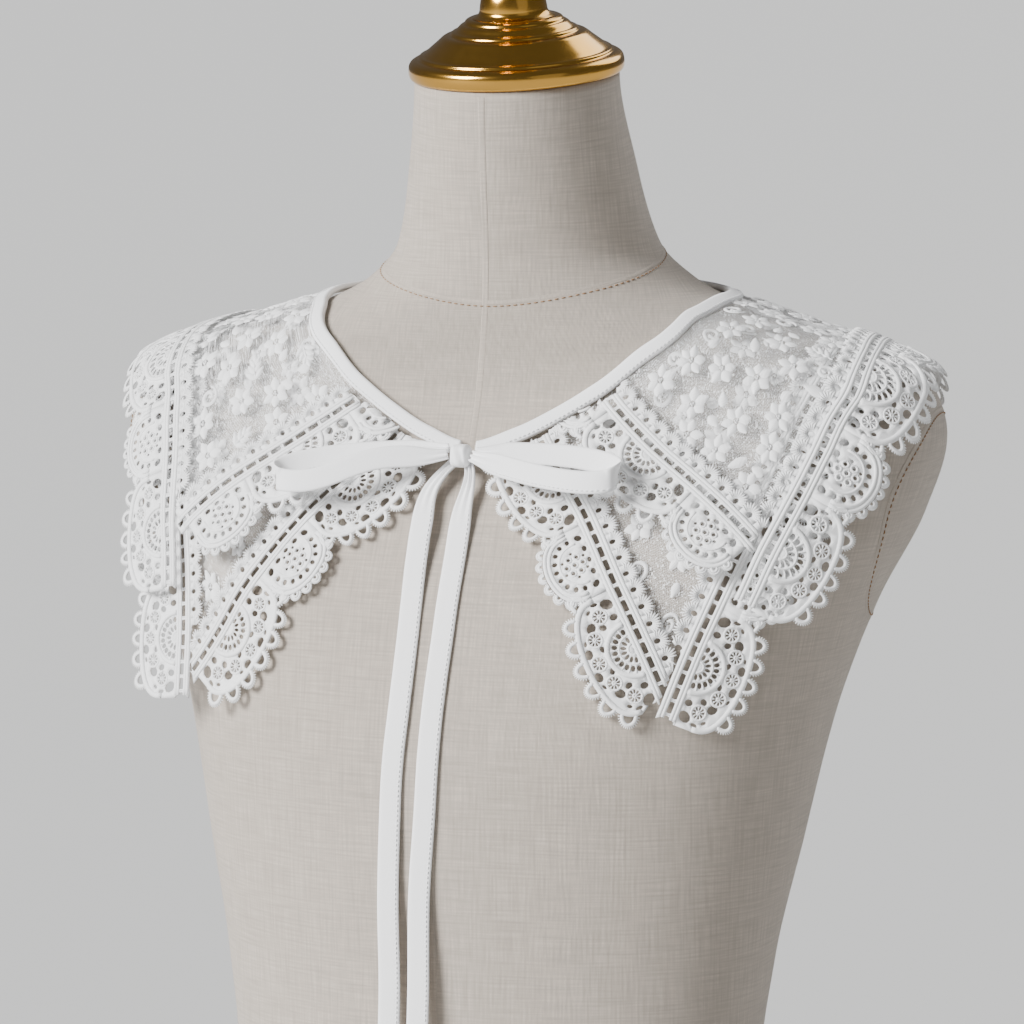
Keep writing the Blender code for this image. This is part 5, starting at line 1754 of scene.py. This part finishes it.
class COLLAR_OT_panels(CollarOperator):
    """Build the embroidered net panels"""
    bl_idname = "collar.panels"
    bl_label = "Net Panels"

    def build(self, context, finishes, cloth):
        for layer in LAYERS:
            sheet, places = panel_sheet(cloth, layer, finishes.net)
            finished(sheet, "net", f"{layer}_panel")
            stitches = embroidery(cloth, layer, places, finishes.stitch,
                                  context.scene.collar_look.seed)
            finished(stitches, "lace")


# Spacing of the machine stitches along the tape.
STITCH_STEP = 0.0024


class COLLAR_OT_tie(CollarOperator):
    """Build the neckband, the knot, the bow's loops and the hanging ends"""
    bl_idname = "collar.tie"
    bl_label = "Neckband and Bow"

    def build(self, context, finishes, cloth):
        band = band_mesh(cloth, "folded_neckband", BAND_START, 360 - BAND_START, 0, finishes.tape)
        finished(band, "tape", "neckband")
        line = band_line(cloth)
        seam = stitch_row("neckband_stitches", *line, 0.0, 0.0001, STITCH_STEP, finishes.tape)
        finished(seam, "tape")
        knot = finished(knot_mesh(finishes.tape), "tape", "knot")
        for name in LOOPS:
            centres, across, out, gather = loop_lines(name)
            piece = tape_mesh(f"{name}_loop", centres, across, out, finishes.tape, gather)
            finished(piece, "tape", name)
            seam = stitch_row(f"{name}_stitches", centres, across * gather[:, None], out,
                              TAPE_WIDTH * 0.37, 0.0006, STITCH_STEP, finishes.tape)
            finished(seam, "tape")
        for name in TAILS:
            centres, across, out = tail_lines(cloth, name)
            along = np.append(0, np.cumsum(np.linalg.norm(np.diff(centres, axis=0), axis=1)))
            gather = 0.42 + 0.58 * ease((along - 0.004) / 0.034)
            piece = tape_mesh(f"{name}_end", centres, across, out, finishes.tape, gather)
            finished(piece, "tape", name)
            seam = stitch_row(f"{name}_stitches", centres, across * gather[:, None], out,
                              TAPE_WIDTH * 0.37, 0.0006, STITCH_STEP, finishes.tape)
            finished(seam, "tape")


# Studio lamps: soft lights that shine from a place towards the origin.
StudioLamp = namedtuple("StudioLamp", "name softness place")
STUDIO_LAMPS = (
    StudioLamp("key_light", 28, (-1.5, -1.7, 1.15)),
    StudioLamp("fill_light", 40, (1.9, -1.5, 0.7)),
    StudioLamp("back_light", 40, (0.8, 2.0, 1.5)),
)
FLOOR_RADIUS = 150.0


class COLLAR_OT_stage(bpy.types.Operator):
    """Set up the pale floor, the soft studio light and the camera"""
    bl_idname = "collar.stage"
    bl_label = "Studio"

    def execute(self, context):
        look = context.scene.collar_look
        pale, _ = plain_material("pale floor", look.floor_color, 0.9)
        turns = 2 * math.pi * np.arange(64) / 64
        points = np.stack([np.cos(turns), np.sin(turns), 0 * turns], 1) * FLOOR_RADIUS
        floor = build_object("floor", points, [[list(range(64))]], points[:, :2], pale)
        floor.location.z = -0.0004
        world = bpy.data.worlds.new("studio")
        context.scene.world = world
        world.use_nodes = True
        world.node_tree.nodes["Background"].inputs["Color"].default_value = (0.96, 0.98, 1.0, 1)
        world.node_tree.nodes["Background"].inputs["Strength"].default_value = look.room_light
        for lamp_row in STUDIO_LAMPS:
            lamp = bpy.data.lights.new(lamp_row.name, "SUN")
            lamp.energy = getattr(look, lamp_row.name)
            lamp.angle = math.radians(lamp_row.softness)
            made = bpy.data.objects.new(lamp_row.name, lamp)
            context.scene.collection.objects.link(made)
            made.location = lamp_row.place
            made.rotation_euler = (-Vector(lamp_row.place)).to_track_quat("-Z", "Y").to_euler()
        self.place_camera(context, look)
        return {"FINISHED"}

    @staticmethod
    def place_camera(context, look):
        azimuth, elevation = math.radians(20), math.radians(6.5)
        toward = Vector((math.sin(azimuth) * math.cos(elevation),
                         -math.cos(azimuth) * math.cos(elevation), math.sin(elevation)))
        camera = bpy.data.cameras.new("camera")
        camera.lens, camera.sensor_width, camera.shift_x = 168.75, 36, -5 / 1024
        made = bpy.data.objects.new("camera", camera)
        context.scene.collection.objects.link(made)
        made.location = Vector((0, 0, 0.38)) + toward * look.camera_distance
        made.rotation_euler = (-toward).to_track_quat("-Z", "Y").to_euler()
        context.scene.camera = made


class COLLAR_PT_panel(bpy.types.Panel):
    """Sidebar panel of the collar"""
    bl_label = "Lace Collar"
    bl_space_type = "VIEW_3D"
    bl_region_type = "UI"
    bl_category = "Collar"

    def draw(self, context):
        look = context.scene.collar_look
        column = self.layout.column()
        for name in CollarLook.__annotations__:
            column.prop(look, name)
        for made in OPERATORS:
            column.operator(made.bl_idname)


OPERATORS = (COLLAR_OT_form, COLLAR_OT_cap, COLLAR_OT_panels, COLLAR_OT_lace, COLLAR_OT_tie,
             COLLAR_OT_stage)
CLASSES = (CollarLook, *OPERATORS, COLLAR_PT_panel)


def register():
    for made in CLASSES:
        bpy.utils.register_class(made)
    bpy.types.Scene.collar_look = bpy.props.PointerProperty(type=CollarLook)


def unregister():
    del bpy.types.Scene.collar_look
    for made in reversed(CLASSES):
        bpy.utils.unregister_class(made)


def main():
    register()
    bpy.ops.collar.form()
    bpy.ops.collar.cap()
    bpy.ops.collar.panels()
    bpy.ops.collar.lace()
    bpy.ops.collar.tie()
    bpy.ops.collar.stage()


if __name__ == "__main__":
    main()
